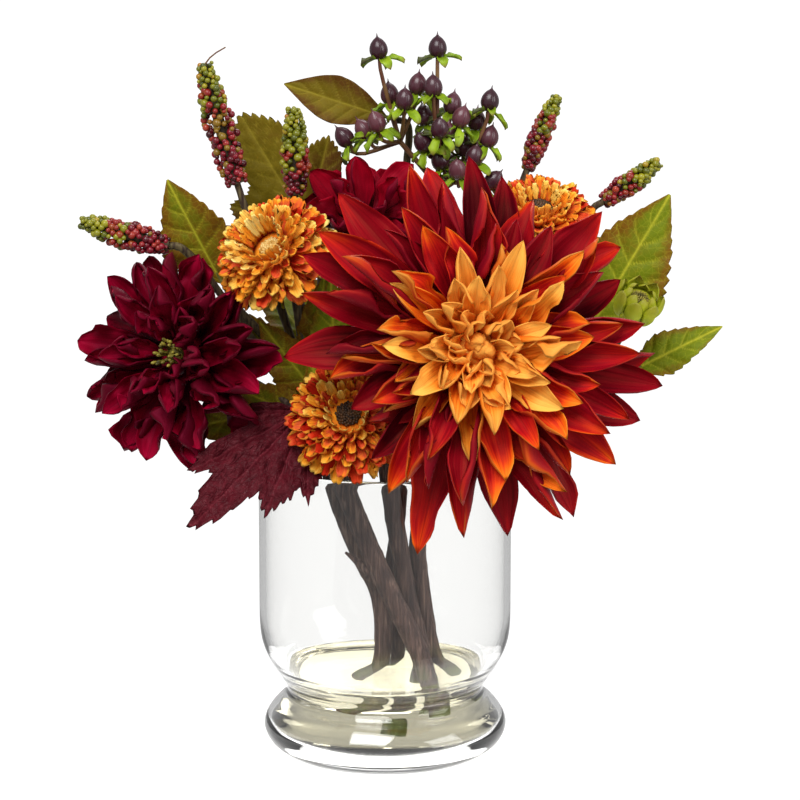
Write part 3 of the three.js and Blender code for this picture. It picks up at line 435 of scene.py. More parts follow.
class Tree:
    """Builds one geometry node tree with named inputs. Each node gives its first output."""

    def __init__(self, name, **inputs):
        self.tree = bpy.data.node_groups.new(name, "GeometryNodeTree")
        self.tree.interface.new_socket("Geometry", in_out="INPUT", socket_type="NodeSocketGeometry")
        for key, kind in inputs.items():
            label = key.replace("_", " ").capitalize()
            self.tree.interface.new_socket(label, in_out="INPUT", socket_type="NodeSocket" + kind)
        self.tree.interface.new_socket("Geometry", in_out="OUTPUT", socket_type="NodeSocketGeometry")
        self.given = self.tree.nodes.new("NodeGroupInput").outputs

    def node(self, kind, sockets=None, **settings):
        """One node: its settings are set first, then the values or links of its sockets."""
        made = self.tree.nodes.new(kind)
        for key, value in settings.items():
            setattr(made, key, value)
        for key, value in (sockets or {}).items():
            if isinstance(value, bpy.types.NodeSocket):
                self.tree.links.new(value, made.inputs[key])
            else:
                made.inputs[key].default_value = value
        return made.outputs[0]

    def attribute(self, name, kind="FLOAT"):
        return self.node("GeometryNodeInputNamedAttribute", {"Name": name}, data_type=kind)

    def math(self, operation, a, b):
        return self.node("ShaderNodeMath", {0: a, 1: b}, operation=operation)

    def vectors(self, operation, a, b):
        return self.node("ShaderNodeVectorMath", {0: a, 1: b}, operation=operation)

    def scaled(self, vector, factor):
        return self.node("ShaderNodeVectorMath", {0: vector, "Scale": factor}, operation="SCALE")

    def finish(self, geometry, material):
        made = self.node("GeometryNodeSetMaterial", {"Geometry": geometry, "Material": material})
        out = self.tree.nodes.new("NodeGroupOutput")
        self.tree.links.new(made, out.inputs[0])
        return self.tree


def spots_tree():
    """Sets pieces of a collection on spots, each with its own turn, size and kind."""
    t = Tree("Pieces on spots", pieces="Collection", loose_turn="Float", seed="Int", material="Material")
    given = t.given
    pieces = t.node("GeometryNodeCollectionInfo", {
        "Collection": given["Pieces"], "Separate Children": True, "Reset Children": True})
    span = t.node("ShaderNodeCombineXYZ", {axis: given["Loose turn"] for axis in range(3)})
    loose = t.node("FunctionNodeRandomValue", {0: t.scaled(span, -1.0), 1: span, "Seed": given["Seed"]},
                   data_type="FLOAT_VECTOR")
    turn = t.vectors("ADD", t.attribute("turn", "FLOAT_VECTOR"), loose)
    set_out = t.node("GeometryNodeInstanceOnPoints", {
        "Points": given["Geometry"], "Instance": pieces, "Pick Instance": True,
        "Instance Index": t.attribute("kind", "INT"),
        "Rotation": t.node("FunctionNodeEulerToRotation", {0: turn}),
        "Scale": t.attribute("size", "FLOAT_VECTOR")})
    return t.finish(t.node("GeometryNodeRealizeInstances", {0: set_out}), given["Material"])


def rods_tree():
    """Sweeps rods along lines whose girth is given, with a fibrous, slightly lumpy skin."""
    t = Tree("Rods along lines", sides="Int", lump="Float", grain="Float", material="Material")
    given = t.given
    line = t.node("GeometryNodeMeshToCurve", {0: given["Geometry"]})
    ring = t.node("GeometryNodeCurvePrimitiveCircle", {"Resolution": given["Sides"], "Radius": 1.0})
    swept = t.node("GeometryNodeCurveToMesh", {
        0: line, 1: ring, "Scale": t.attribute("girth"), "Fill Caps": True})
    place = t.node("GeometryNodeInputPosition")
    stretched = t.vectors("MULTIPLY", place, (1.0, 1.0, 0.12))
    fibre = t.node("ShaderNodeTexNoise", {"Vector": stretched, "Scale": given["Grain"], "Detail": 2.0})
    knots = t.node("ShaderNodeTexNoise", {"Vector": place, "Scale": 45.0, "Detail": 1.0})
    middle = 1.05  # about what the two noises add up to
    depth = t.math("MULTIPLY", t.math("SUBTRACT", t.math("ADD", fibre, knots), middle), given["Lump"])
    out = t.scaled(t.node("GeometryNodeInputNormal"), depth)
    moved = t.node("GeometryNodeSetPosition", {"Geometry": swept, "Offset": out})
    smooth = t.node("GeometryNodeSetShadeSmooth", {"Geometry": moved, "Shade Smooth": True})
    return t.finish(smooth, given["Material"])


def show(mesh, name):
    """An object for a mesh, in the scene."""
    made = bpy.data.objects.new(name, mesh)
    bpy.context.scene.collection.objects.link(made)
    return made


def evaluated(mesh, tree, values, name):
    """The plain mesh that a node tree makes from a starting mesh."""
    holder = show(mesh, name + ".start")
    modifier = holder.modifiers.new("make", "NODES")
    modifier.node_group = tree
    for socket in tree.interface.items_tree:
        if socket.in_out == "INPUT" and socket.name in values:
            modifier[socket.identifier] = values[socket.name]
    bpy.context.view_layer.update()
    graph = bpy.context.evaluated_depsgraph_get()
    made = bpy.data.meshes.new_from_object(holder.evaluated_get(graph))
    made.name = name
    bpy.data.objects.remove(holder)
    return made


def set_on_spots(name, pieces, spots, material, loose=0.0, seed=1):
    """Meshes of `pieces` at `spots`: (matrix in mm, kind, tint)."""
    start = bpy.data.meshes.new(name)
    parts = [matrix.decompose() for matrix, _, _ in spots]
    start.from_pydata([tuple(place * MM) for place, _, _ in parts], [], [])
    fields = {
        "turn": ("FLOAT_VECTOR", "vector", [tuple(turn.to_euler("XYZ")) for _, turn, _ in parts]),
        "size": ("FLOAT_VECTOR", "vector", [tuple(scale) for _, _, scale in parts]),
        "tint": ("FLOAT", "value", [tint for _, _, tint in spots]),
        "kind": ("INT", "value", [kind for _, kind, _ in spots]),
    }
    for key, (kind, slot, values) in fields.items():
        start.attributes.new(key, kind, "POINT").data.foreach_set(slot, np.array(values).ravel())
    shelf = bpy.data.collections.new(name + ".pieces")
    kept = [bpy.data.objects.new(f"{name}.{i:03d}", mesh) for i, mesh in enumerate(pieces)]
    for piece in kept:
        shelf.objects.link(piece)
    values = {"Pieces": shelf, "Loose turn": loose, "Seed": seed, "Material": material}
    made = evaluated(start, trees["spots"], values, name)
    for piece in kept:
        bpy.data.objects.remove(piece)
    bpy.data.collections.remove(shelf)
    return made


def rods(name, lines, material, sides=10, lump=0.0, grain=900.0):
    """Rods along `lines`: (points in mm, radii in mm)."""
    points, edges, girth = [], [], []
    for line, radii in lines:
        first = len(points)
        points += [tuple(np.array(p) * MM) for p in line]
        edges += [(first + i, first + i + 1) for i in range(len(line) - 1)]
        girth += [r * MM for r in radii]
    start = bpy.data.meshes.new(name)
    start.from_pydata(points, edges, [])
    start.attributes.new("girth", "FLOAT", "POINT").data.foreach_set("value", girth)
    values = {"Sides": sides, "Lump": lump * MM, "Grain": grain, "Material": material}
    return evaluated(start, trees["rods"], values, name)


def joined(name, meshes):
    """One mesh of several, each with its own materials."""
    holders = [show(mesh, f"{name}.{i}") for i, mesh in enumerate(meshes)]
    first = holders[0]
    with bpy.context.temp_override(active_object=first, selected_editable_objects=holders, object=first):
        bpy.ops.object.join()
    mesh = first.data
    bpy.data.objects.remove(first)
    return mesh


def shift(mesh, home):
    """Moves a mesh to a place given in millimetres."""
    there = home.copy()
    there.translation = home.translation * MM
    mesh.transform(there)


def put(mesh, home, material):
    """Moves a mesh to a place given in millimetres and gives it its material."""
    shift(mesh, home)
    mesh.materials.append(material)
    return mesh


def place(name, mesh, nodes, slot):
    """Puts a finished mesh in the scene in place of its CAD nodes."""
    made = show(mesh, "dressed_" + name)
    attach(made, "root")
    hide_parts(*nodes)
    return made


# ---------------------------------------------------------------- materials

class Number:
    """A shader value that Python's operators turn into Math nodes."""

    def __init__(self, paint, socket):
        self.paint, self.socket = paint, socket

    def math(self, operation, *others):
        return self.paint.node("ShaderNodeMath", dict(enumerate([self, *others])), operation=operation)

    def __add__(self, other):
        return self.math("ADD", other)

    __radd__ = __add__

    def __sub__(self, other):
        return self.math("SUBTRACT", other)

    def __rsub__(self, other):
        return (self * -1) + other

    def __mul__(self, other):
        return self.math("MULTIPLY", other)

    __rmul__ = __mul__

    def __abs__(self):
        return self.math("ABSOLUTE")


class Paint:
    """Builds the nodes of one material."""

    def __init__(self, name, **constants):
        self.material = bpy.data.materials.new(name)
        self.material.use_nodes = True
        self.tree = self.material.node_tree
        self.tree.nodes.clear()
        output = self.tree.nodes.new("ShaderNodeOutputMaterial")
        self.shader = self.tree.nodes.new("ShaderNodeBsdfPrincipled")
        self.tree.links.new(self.shader.outputs[0], output.inputs[0])
        self.surface(constants)

    def surface(self, sockets):
        for key, value in sockets.items():
            self.feed(self.shader.inputs[key.replace("_", " ")], value)
        return self.material

    def feed(self, socket, value):
        if isinstance(value, Number):
            self.tree.links.new(value.socket, socket)
        else:
            socket.default_value = value

    def node(self, kind, sockets=None, result=0, **settings):
        made = self.tree.nodes.new(kind)
        for key, value in settings.items():
            setattr(made, key, value)
        for key, value in (sockets or {}).items():
            self.feed(made.inputs[key], value)
        return Number(self, made.outputs[result])

    def uv(self):
        source = self.node("ShaderNodeUVMap", uv_map="UVMap")
        return [self.node("ShaderNodeSeparateXYZ", {0: source}, axis) for axis in (0, 1)]

    def attribute(self, name):
        return self.node("ShaderNodeAttribute", None, "Fac", attribute_name=name)

    def vector(self, x, y, z=0.0):
        return self.node("ShaderNodeCombineXYZ", {0: x, 1: y, 2: z})

    def place(self):
        return self.node("ShaderNodeTexCoord", None, "Object")

    def noise(self, scale, detail=2.0, vector=None, distortion=0.0):
        return self.node("ShaderNodeTexNoise", {
            "Vector": vector or self.place(), "Scale": scale, "Detail": detail, "Distortion": distortion})

    def ramp(self, value, colours):
        made = self.node("ShaderNodeValToRGB", {0: value})
        bar = made.socket.node.color_ramp.elements
        for stop, (position, colour) in ((bar[0], colours[0]), (bar[1], colours[-1])):
            stop.position, stop.color = position, tone(colour)
        for position, colour in colours[1:-1]:
            bar.new(position).color = tone(colour)
        return made

    def fade(self, value, low, high):
        """0 below `low`, 1 above `high`, and smooth between them."""
        return self.node("ShaderNodeMapRange", {0: value, 1: low, 2: high}, interpolation_type="SMOOTHSTEP")

    def mix(self, factor, a, b, blend="MIX"):
        a, b = (tone(c) if isinstance(c, str) else c for c in (a, b))
        return self.node("ShaderNodeMix", {0: factor, 6: a, 7: b}, 2, data_type="RGBA", blend_type=blend)

    def shaded(self, colour, light):
        """A colour made darker or lighter by a number."""
        grey = self.node("ShaderNodeCombineColor", {i: light for i in range(3)})
        return self.mix(1.0, colour, grey, "MULTIPLY")

    def bump(self, height, strength, distance):
        return self.node("ShaderNodeBump", {
            "Strength": strength, "Distance": distance * MM, "Height": height})


def tone(colour):
    """Linear colour from a hex word such as "8E1021", or from a colour property."""
    if not isinstance(colour, str):
        return (*tuple(colour)[:3], 1.0)
    parts = [int(colour[i:i + 2], 16) / 255 for i in (0, 2, 4)]
    return (*[c / 12.92 if c <= 0.04045 else ((c + 0.055) / 1.055) ** 2.4 for c in parts], 1.0)


def petal_cloth(name, colours, back, along, layer, tip=0.3, roughness=0.55, ribs=20.0, depth=0.5, patch=0.3,
                dark=0.3, rim=0.3, gloss=0.2, under=0.8, shine="FFFFFF"):
    """Satin petal cloth over fine ribs. Its colour runs along each petal and from layer to layer.

    `along`, `layer`, `tip`, `rim` and `patch` are shares of the colour ramp, `dark` is how strongly painted
    shade darkens the roots, `under` is how strongly backs show `back`, and `shine` tints the highlights.
    The colour is also painted lighter and darker along the ribs, with painted shade down the keel.
    """
    p = Paint(name, Specular_IOR_Level=gloss, Specular_Tint=tone(shine))
    u, v = p.uv()
    tint = p.attribute("tint")
    edge = abs(u * 2 - 1)
    rib_tone_and_shade = p.noise(1.0, 3, p.vector(u * ribs, v * 1.7, tint * 137))
    wash = p.noise(1.0, 2, p.vector(u * 2.2, v * 2.4, tint * 311))
    shade = v * along + tint * layer + (rib_tone_and_shade - 0.5) * 0.26 + (wash - 0.5) * patch
    shade = shade + p.fade(v, 0.74, 1.0) * tip + p.fade(edge, 0.66, 1.0) * tip * rim
    groove_and_shade = p.fade(edge, 0.0, 0.12)
    # Painted light and shade: lighter and darker along the ribs, painted shade down the keel, and painted
    # shade at the root as strongly as `dark` says.
    light = (rib_tone_and_shade * 0.6 + 0.72) * (groove_and_shade * 0.14 + 0.86) * (p.fade(v, 0.0, 0.3) * dark + (1 - dark))
    colour = p.shaded(p.ramp(shade, colours), light)
    colour = p.mix(p.attribute("back") * under, colour, back)
    height = rib_tone_and_shade * 0.8 + groove_and_shade * 0.5 + p.noise(2600.0, 1) * 0.12
    return p.surface({"Base Color": colour, "Roughness": rib_tone_and_shade * 0.2 + (roughness - 0.1),
                      "Normal": p.bump(height, 0.6, depth)})


def leaf_cloth(name, green, brown, vein, edge_brown, roughness=0.55, crinkle=0.35, crease_and_shade=0.0):
    """Printed leaf cloth: brown clouds and edges over green, with paler veins and a fine net between them,
    and painted light and shade on its wrinkles.
    """
    p = Paint(name, Specular_IOR_Level=0.12)
    u, _ = p.uv()
    veins = p.attribute("vein")
    edge = p.fade(abs(u * 2 - 1), 0.35, 1.0)
    cloud = p.noise(38.0, 4)
    fine = p.noise(420.0, 3)
    cells = p.node("ShaderNodeTexVoronoi", {"Vector": p.place(), "Scale": 330.0}, feature="DISTANCE_TO_EDGE")
    net = 1 - p.fade(cells, 0.0, 0.09)
    brownness = p.fade(cloud + edge * edge_brown + (fine - 0.5) * 0.3 + p.attribute("tint") - 0.35, 0.3, 0.75)
    colour = p.mix(veins * 0.8 + net * 0.16, p.mix(brownness, green, brown), vein)
    fold_relief_and_shade = p.noise(170.0, 3, distortion=1.6)
    # Painted light and shade: the wrinkles are painted lighter and darker, over a fine mottle that is lighter
    # and darker at random.
    colour = p.shaded(colour, fine * 0.5 + 0.72 + (fold_relief_and_shade - 0.5) * crease_and_shade)
    height = fine * 0.6 - veins * 0.8 - net * 0.25 + fold_relief_and_shade * crease_and_shade * 3 + p.noise(1500.0, 1) * 0.15
    return p.surface({"Base Color": colour, "Roughness": fine * 0.2 + (roughness - 0.1),
                      "Normal": p.bump(height, 0.6, crinkle)})


def berry_skin(name, colours, roughness=0.28, scale=180.0, ribs=0.0):
    """Glossy berry: its colour is drawn for each berry, with a paler bloom in patches and, where it has ribs,
    painted shade in the grooves between them.
    """
    p = Paint(name, Specular_IOR_Level=0.4, Coat_Weight=0.1, Coat_Roughness=0.25)
    cloud = p.noise(scale, 3)
    colour = p.ramp(p.attribute("tint") + (cloud - 0.5) * 0.35, colours)
    height = cloud * 0.5
    if ribs:
        u, _ = p.uv()
        line = abs((u * ribs).math("SINE"))
        height = height + p.fade(line, 0.0, 0.3)
        # Painted shade: the grooves between the ribs are painted darker.
        colour = p.shaded(colour, p.fade(line, 0.0, 0.25) * 0.3 + 0.7)
    return p.surface({"Base Color": colour, "Roughness": cloud * 0.2 + (roughness - 0.1),
                      "Normal": p.bump(height, 0.3, 0.25)})


def plain_skin(name, dark, pale, roughness=0.6, scale=200.0, depth=0.3):
    """A matt skin that wanders between two colours."""
    p = Paint(name, Specular_IOR_Level=0.35)
    cloud = p.noise(scale, 4)
    return p.surface({"Base Color": p.mix(p.fade(cloud, 0.3, 0.7), dark, pale),
                      "Roughness": cloud * 0.2 + (roughness - 0.1), "Normal": p.bump(cloud, 0.5, depth)})


def lime_skin(name, dark, pale, brown_from):
    """Fresh lime green that turns brown at the tips, with a few sepals nearly black."""
    p = Paint(name, Specular_IOR_Level=0.3)
    _, v = p.uv()
    cloud, fine = p.noise(160.0, 3), p.noise(700.0, 2)
    colour = p.mix(p.fade(cloud, 0.3, 0.7), dark, pale)
    colour = p.mix(p.fade(v + (cloud - 0.5) * 0.5, brown_from, 1.0) * 0.75, colour, "6E4A26")
    colour = p.mix(p.attribute("back") * 0.3, colour, dark)
    blackened = p.fade(p.attribute("tint"), 0.84, 0.9) * p.fade(v + (cloud - 0.5), 0.1, 0.5)
    colour = p.mix(blackened * 0.85, colour, "332C22")
    return p.surface({"Base Color": colour, "Roughness": cloud * 0.2 + 0.4,
                      "Normal": p.bump(fine + cloud, 0.4, 0.3)})


def bark_skin():
    """Grey-brown woody skin with long fibres, green where a stem is cut under water and on high twigs."""
    p = Paint("stem bark", Specular_IOR_Level=0.3)
    stretched = p.node("ShaderNodeVectorMath", {0: p.place(), 1: (1.0, 1.0, 0.05)}, operation="MULTIPLY")
    fibre = p.noise(900.0, 4, stretched)
    patch = p.noise(60.0, 3)
    colour = p.ramp(fibre * 0.8 + patch * 0.3, [
        (0.34, "1E1210"), (0.5, "36241E"), (0.62, "4E3A32"), (0.76, "776254")])
    height_up = p.node("ShaderNodeSeparateXYZ", {0: p.place()}, 2)
    greenness = p.fade(patch, 0.4, 0.6) * (1 - p.fade(height_up, 0.02, 0.05)) * 0.7
    colour = p.mix(greenness, colour, "5C6A2A")
    colour = p.mix(p.fade(height_up, 0.15, 0.2) * p.fade(fibre, 0.3, 0.7) * 0.5, colour, "5E5A28")
    relief = p.bump(fibre + patch * 0.4, 0.8, 0.7)
    return p.surface({"Base Color": colour, "Roughness": 0.72, "Normal": relief})


def clear_body(name, colour, ior):
    """Thick clear glass or set resin, which bends what is seen through it."""
    return Paint(name, Base_Color=tone(colour), Roughness=0.0, IOR=ior, Transmission_Weight=1.0).material


# ---------------------------------------------------------------- settings

def length_property(label, words, default):
    return bpy.props.FloatProperty(name=label, description=words, default=default * MM, min=0.0,
                                   unit="LENGTH", subtype="DISTANCE", precision=4)


def colour_property(label, words, default):
    return bpy.props.FloatVectorProperty(name=label, description=words, size=3, min=0.0, max=1.0,
                                         subtype="COLOR", default=tone(default)[:3])


def light_property(label, words, default, **more):
    return bpy.props.FloatProperty(name=label, description=words, default=default, **more)


class JarSettings(bpy.types.PropertyGroup):
    height: length_property("Height", "Height of the jar's rim", 138)
    radius: length_property("Radius", "Outer radius of the straight wall", 58)
    glass: length_property("Glass", "Thickness of the wall", 3)
    floor: length_property("Floor", "Thickness of the bottom", 5)
    water_level: length_property("Water level", "Height of the set water", 37.5)
    glass_colour: colour_property("Glass colour", "Tint of the glass", "FBFBFA")
    water_colour: colour_property("Water colour", "Tint of the set water", "F2ECD0")


class FlowerSettings(bpy.types.PropertyGroup):
    petal_thickness: length_property("Petal thickness", "Thickness of a petal's middle", 0.9)
    crimson: colour_property("Crimson", "Root and body of the large dahlia's petals", "8C0618")
    orange: colour_property("Orange", "Tips of the large dahlia's petals", "EA6A14")
    gold: colour_property("Gold", "Heart of the large dahlia", "FDB850")
    burgundy: colour_property("Burgundy", "Body of the dark dahlia's petals", "700018")
    scarlet: colour_property("Scarlet", "Body of the red bloom's petals", "96041C")
    mum_gold: colour_property("Chrysanthemum gold", "Ends of the chrysanthemums' petals", "F2BC50")


class FoliageSettings(bpy.types.PropertyGroup):
    leaf_thickness: length_property("Leaf thickness", "Thickness of a leaf's middle", 0.7)
    leaf_green: colour_property("Leaf green", "Young part of the leaves", "6C780C")
    leaf_brown: colour_property("Leaf brown", "Turned part of the leaves", "74500C")
    vein_yellow: colour_property("Vein yellow", "Veins of the leaves", "B4B02C")
    bead_size: length_property("Bead size", "Radius of a spike's small berries", 1.75)


class StageSettings(bpy.types.PropertyGroup):
    lens: light_property("Lens", "Focal length of the camera, in millimetres", 177.18)
    key: light_property("Key light", "Power of the large light", 52.0, unit="POWER")
    fill: light_property("Fill light", "Power of the side and back lights", 18.0, unit="POWER")
    sky: light_property("Sky", "Strength of the light all round after its first bounce", 0.5)
    mirrored: light_property("Mirrored sky", "Strength of the sky in reflections", 0.5)


def settings(kind):
    return getattr(bpy.context.scene, "bouquet_" + kind)


# ---------------------------------------------------------------- blooms

def reach(turn, sectors):
    """Share of their length that petals keep in a direction where they have grown shorter."""
    share = 1.0
    for towards, less, spread in sectors:
        off = abs((turn - towards + 540) % 360 - 180)
        if off < spread:
            share -= less * math.cos(math.radians(off / spread * 90))
    return share


def spread_of(random):
    """A function that draws numbers from -amount to amount."""
    return lambda amount: (next(random) - 0.5) * 2 * amount


def ring_spots(ring, first, kinds, random, wild, sectors, home, loose, stain):
    """Where each petal of a ring stands: matrix, kind of petal and tint.

    `random` repeats the draws that placed the solid petals, and `wild` adds to them.
    """
    jitter, stray = spread_of(random), spread_of(wild)
    spots = []
    for i in range(ring.count):
        turn = (i + ring.step) / ring.count * 360 + jitter(40 / ring.count)
        long = (1 + jitter(0.07)) * reach(turn, sectors)
        wide = 1 + jitter(0.1)
        up = ring.pitch + jitter(3) + stray(loose * 0.3)
        next(random)  # bends a solid petal, and is passed over here
        lean = 12 + jitter(5) + stray(loose)
        root = Matrix.Rotation(math.radians(turn), 4, "Z") @ Matrix.Translation((ring.root, 0, ring.height))
        tilt = Matrix.Rotation(math.radians(-up), 4, "Y") @ Matrix.Rotation(math.radians(lean), 4, "X")
        spot = home @ root @ tilt @ Matrix.Diagonal((long, wide, 1, 1))
        spots.append((spot, first + int(next(wild) * kinds), ring.gold + stray(stain)))
    return spots


def bloom(name, home, rings, between, seed, sectors, outline, material, core, curl, twist, wave, loose=14.0,
          notch=0.0, rows=14, cols=8, kinds=6, gold=0.0, stain=0.13):
    """All petals of a bloom as one mesh, over the cushion that they grow from.

    `rings` are the solid's and `between` are added. `core` is the cushion's radius, foot and top, `kinds`
    the number of petal shapes for each ring, and `loose` how far petals stray from their place, in degrees.
    """
    thick = settings("flowers").petal_thickness / MM
    pieces, spots = [], []
    random, more, wild = draws(seed), draws(seed + 500), draws(seed + 900)
    vary = spread_of(wild)
    for row, source in [(r, random) for r in rings] + [(r, more) for r in between]:
        ring = Ring(*row)
        spots += ring_spots(ring, len(pieces), kinds, source, wild, sectors, home, loose, stain)
        for _ in range(kinds):
            pieces.append(petal(
                name + ".petal", ring.length, ring.width, outline, ring.bend + vary(7),
                ring.fold * (1.15 + vary(0.45)), ring.flick + vary(14), curl, vary(twist),
                wave * (1 + vary(0.6)), notch, thick, rows, cols, phase=next(wild), sway=vary(0.07)))
    petals = set_on_spots(name, pieces, spots, material)
    radius, low, high = core
    cushion = turned(name + ".cushion", round_off([
        (0, low), (radius * 0.9, low), (radius, (low + high) / 2), (radius * 0.8, high),
        (0, high + 1)], 2), 24)
    tints = cushion.attributes.new("tint", "FLOAT", "POINT")
    tints.data.foreach_set("value", [gold] * len(cushion.vertices))
    return joined(name, [petals, put(cushion, home, material)])


def calyx(key):
    """The green cup behind a bloom and its pointed sepals."""
    name, home = key + "_calyx", frame_at(*BLOOMS[key])
    radius, depth, count = CALYX[key.split("_")[0]]
    cup = turned(name + ".cup", round_off([
        (0, -depth), (radius * 0.45, -depth), (radius * 0.8, -depth * 0.6), (radius, -1.4),
        (radius * 0.98, -0.4), (0, -0.4)], 2), 24)
    sepal = petal(name + ".sepal", radius * 1.05, radius * 0.62, POINTED, bend=-14, fold=16, flick=-20,
                  curl=0.3, wave=0.08, thick=0.8, rows=8, cols=6)
    root = Matrix.Translation((radius * 0.46, 0, -depth * 0.62)) @ Matrix.Rotation(math.radians(-4), 4, "Y")
    spots = [(home @ Matrix.Rotation(i / count * 2 * math.pi, 4, "Z") @ root, 0, 0.3) for i in range(count)]
    sepals = set_on_spots(name + ".sepals", [sepal], spots, materials["sepal"])
    place(name, joined(name, [put(cup, home, materials["sepal"]), sepals]), [name], "sepal_green")


def make_dahlia():
    """The large dahlia: crimson and orange petals outside, golden ones inside, and its calyx."""
    flowers = settings("flowers")
    colours = [
        (0.0, "4A0210"), (0.14, "7C0416"), (0.32, flowers.crimson), (0.45, "AE1216"), (0.56, "D03414"),
        (0.68, flowers.orange), (0.82, "F4922A"), (1.0, flowers.gold)]
    # Both cloths paint shade at each petal's root, as strongly as `dark` says.
    crimson = petal_cloth("crimson and orange satin", colours, "5E0A1C", along=0.27, layer=0.76, tip=0.15,
                          roughness=0.48, patch=0.46, rim=1.0, gloss=0.32, under=0.45, shine="F8845C")
    golden = petal_cloth("golden satin", colours, "C4500F", along=0.56, layer=0.6, tip=0.15, roughness=0.46,
                         depth=0.8, patch=0.34, dark=0.5, gloss=0.26, under=0.4, shine="FFC88C")
    home = frame_at(*BLOOMS["dahlia"])
    outer = bloom("dahlia_outer", home, DAHLIA_OUTER, DAHLIA_BETWEEN, 11, DAHLIA_SHORT, POINTED, crimson,
                  core=(14, 0, 16), curl=0.8, twist=54, wave=0.26, loose=28, rows=18, cols=14, kinds=11,
                  gold=0.1, stain=0.3)
    place("dahlia_outer", outer, ["dahlia_outer_petals"], "crimson_silk")
    heart = bloom("dahlia_heart", home, DAHLIA_HEART, HEART_BETWEEN, 23, HEART_SHORT, POINTED, golden,
                  core=(10, 14.3, 27), curl=0.7, twist=50, wave=0.34, loose=24, rows=16, cols=14, kinds=9,
                  gold=0.8, stain=0.22)
    place("dahlia_heart", heart, ["dahlia_heart_petals"], "golden_silk")
    calyx("dahlia")


def make_burgundy():
    """The dark dahlia at the left, with its tuft of stamens and its calyx."""
    # `dark` sets how strongly painted shade darkens each petal's root.
    cloth = petal_cloth("burgundy velvet", [
        (0.0, "220008"), (0.24, "48000D"), (0.5, settings("flowers").burgundy), (1.0, "AE0C36")], "3E0412",
        along=0.44, layer=0.42, tip=0.2, roughness=0.5, ribs=14, patch=0.56, dark=0.66, gloss=0.36,
        shine="E84A78")
    home = frame_at(*BLOOMS["burgundy"])
    petals = bloom("burgundy", home, BURGUNDY, BURGUNDY_BETWEEN, 31, BURGUNDY_SHORT, OVATE, cloth,
                   core=(12, 0, 9), curl=0.7, twist=60, wave=0.32, loose=30, rows=18, cols=14, kinds=8,
                   gold=0.2)
    place("burgundy", petals, ["burgundy_petals"], "burgundy_silk")
    stamen = turned("stamen", [
        (0, 0), (0.45, 0), (0.35, 7.5), (0.75, 8.6), (0.85, 9.6), (0.5, 10.6), (0, 10.9)], 8)
    random = draws(37)
    spots = []
    for i in range(26):
        turn, lean, out = i * 2.4, math.radians(8 + 30 * next(random)), 1 + 3 * next(random)
        root = Matrix.Rotation(turn, 4, "Z") @ Matrix.Translation((out * 0.8, 0, 9.8))
        long = Matrix.Diagonal((1, 1, 0.75 + 0.3 * next(random), 1))
        spots.append((home @ root @ Matrix.Rotation(lean, 4, "Y") @ long, 0, next(random)))
    tuft = set_on_spots("burgundy_tuft", [stamen], spots, materials["stamen"])
    button = turned("button", round_off([(0, 9.2), (4.4, 9.2), (4.2, 11.5), (2.4, 12.8), (0, 13)], 2), 20)
    tuft = joined("tuft", [tuft, put(button, home, materials["stamen"])])
    place("burgundy_tuft", tuft, ["burgundy_stamens"], "stamen")
    calyx("burgundy")


def make_red():
    """The red bloom behind the dahlia, and its calyx."""
    # `dark` sets how strongly painted shade darkens each petal's root.
    cloth = petal_cloth("scarlet satin", [
        (0.0, "30000A"), (0.3, "700416"), (0.6, settings("flowers").scarlet), (1.0, "B80C2C")], "4A0418",
        along=0.35, layer=0.4, tip=0.15, roughness=0.5, dark=0.45, gloss=0.32, shine="F06078")
    petals = bloom("red", frame_at(*BLOOMS["red"]), RED, RED_BETWEEN, 41, [], OVATE, cloth,
                   core=(9, 0, 7), curl=0.6, twist=40, wave=0.22, loose=18, rows=16, cols=12, gold=0.3)
    place("red", petals, ["red_petals"], "scarlet_silk")
    calyx("red")


def seed_head(home, count, radius, rise_at):
    """Matrices of seeds in a spiral over a disc, whose height at a distance out is `rise_at(out)`."""
    spots = []
    for k in range(count):
        out = radius * math.sqrt((k + 0.5) / count)
        turn = Matrix.Rotation(k * GOLDEN_TURN, 4, "Z")
        spots.append(home @ turn @ Matrix.Translation((out, 0, rise_at(out))))
    return spots


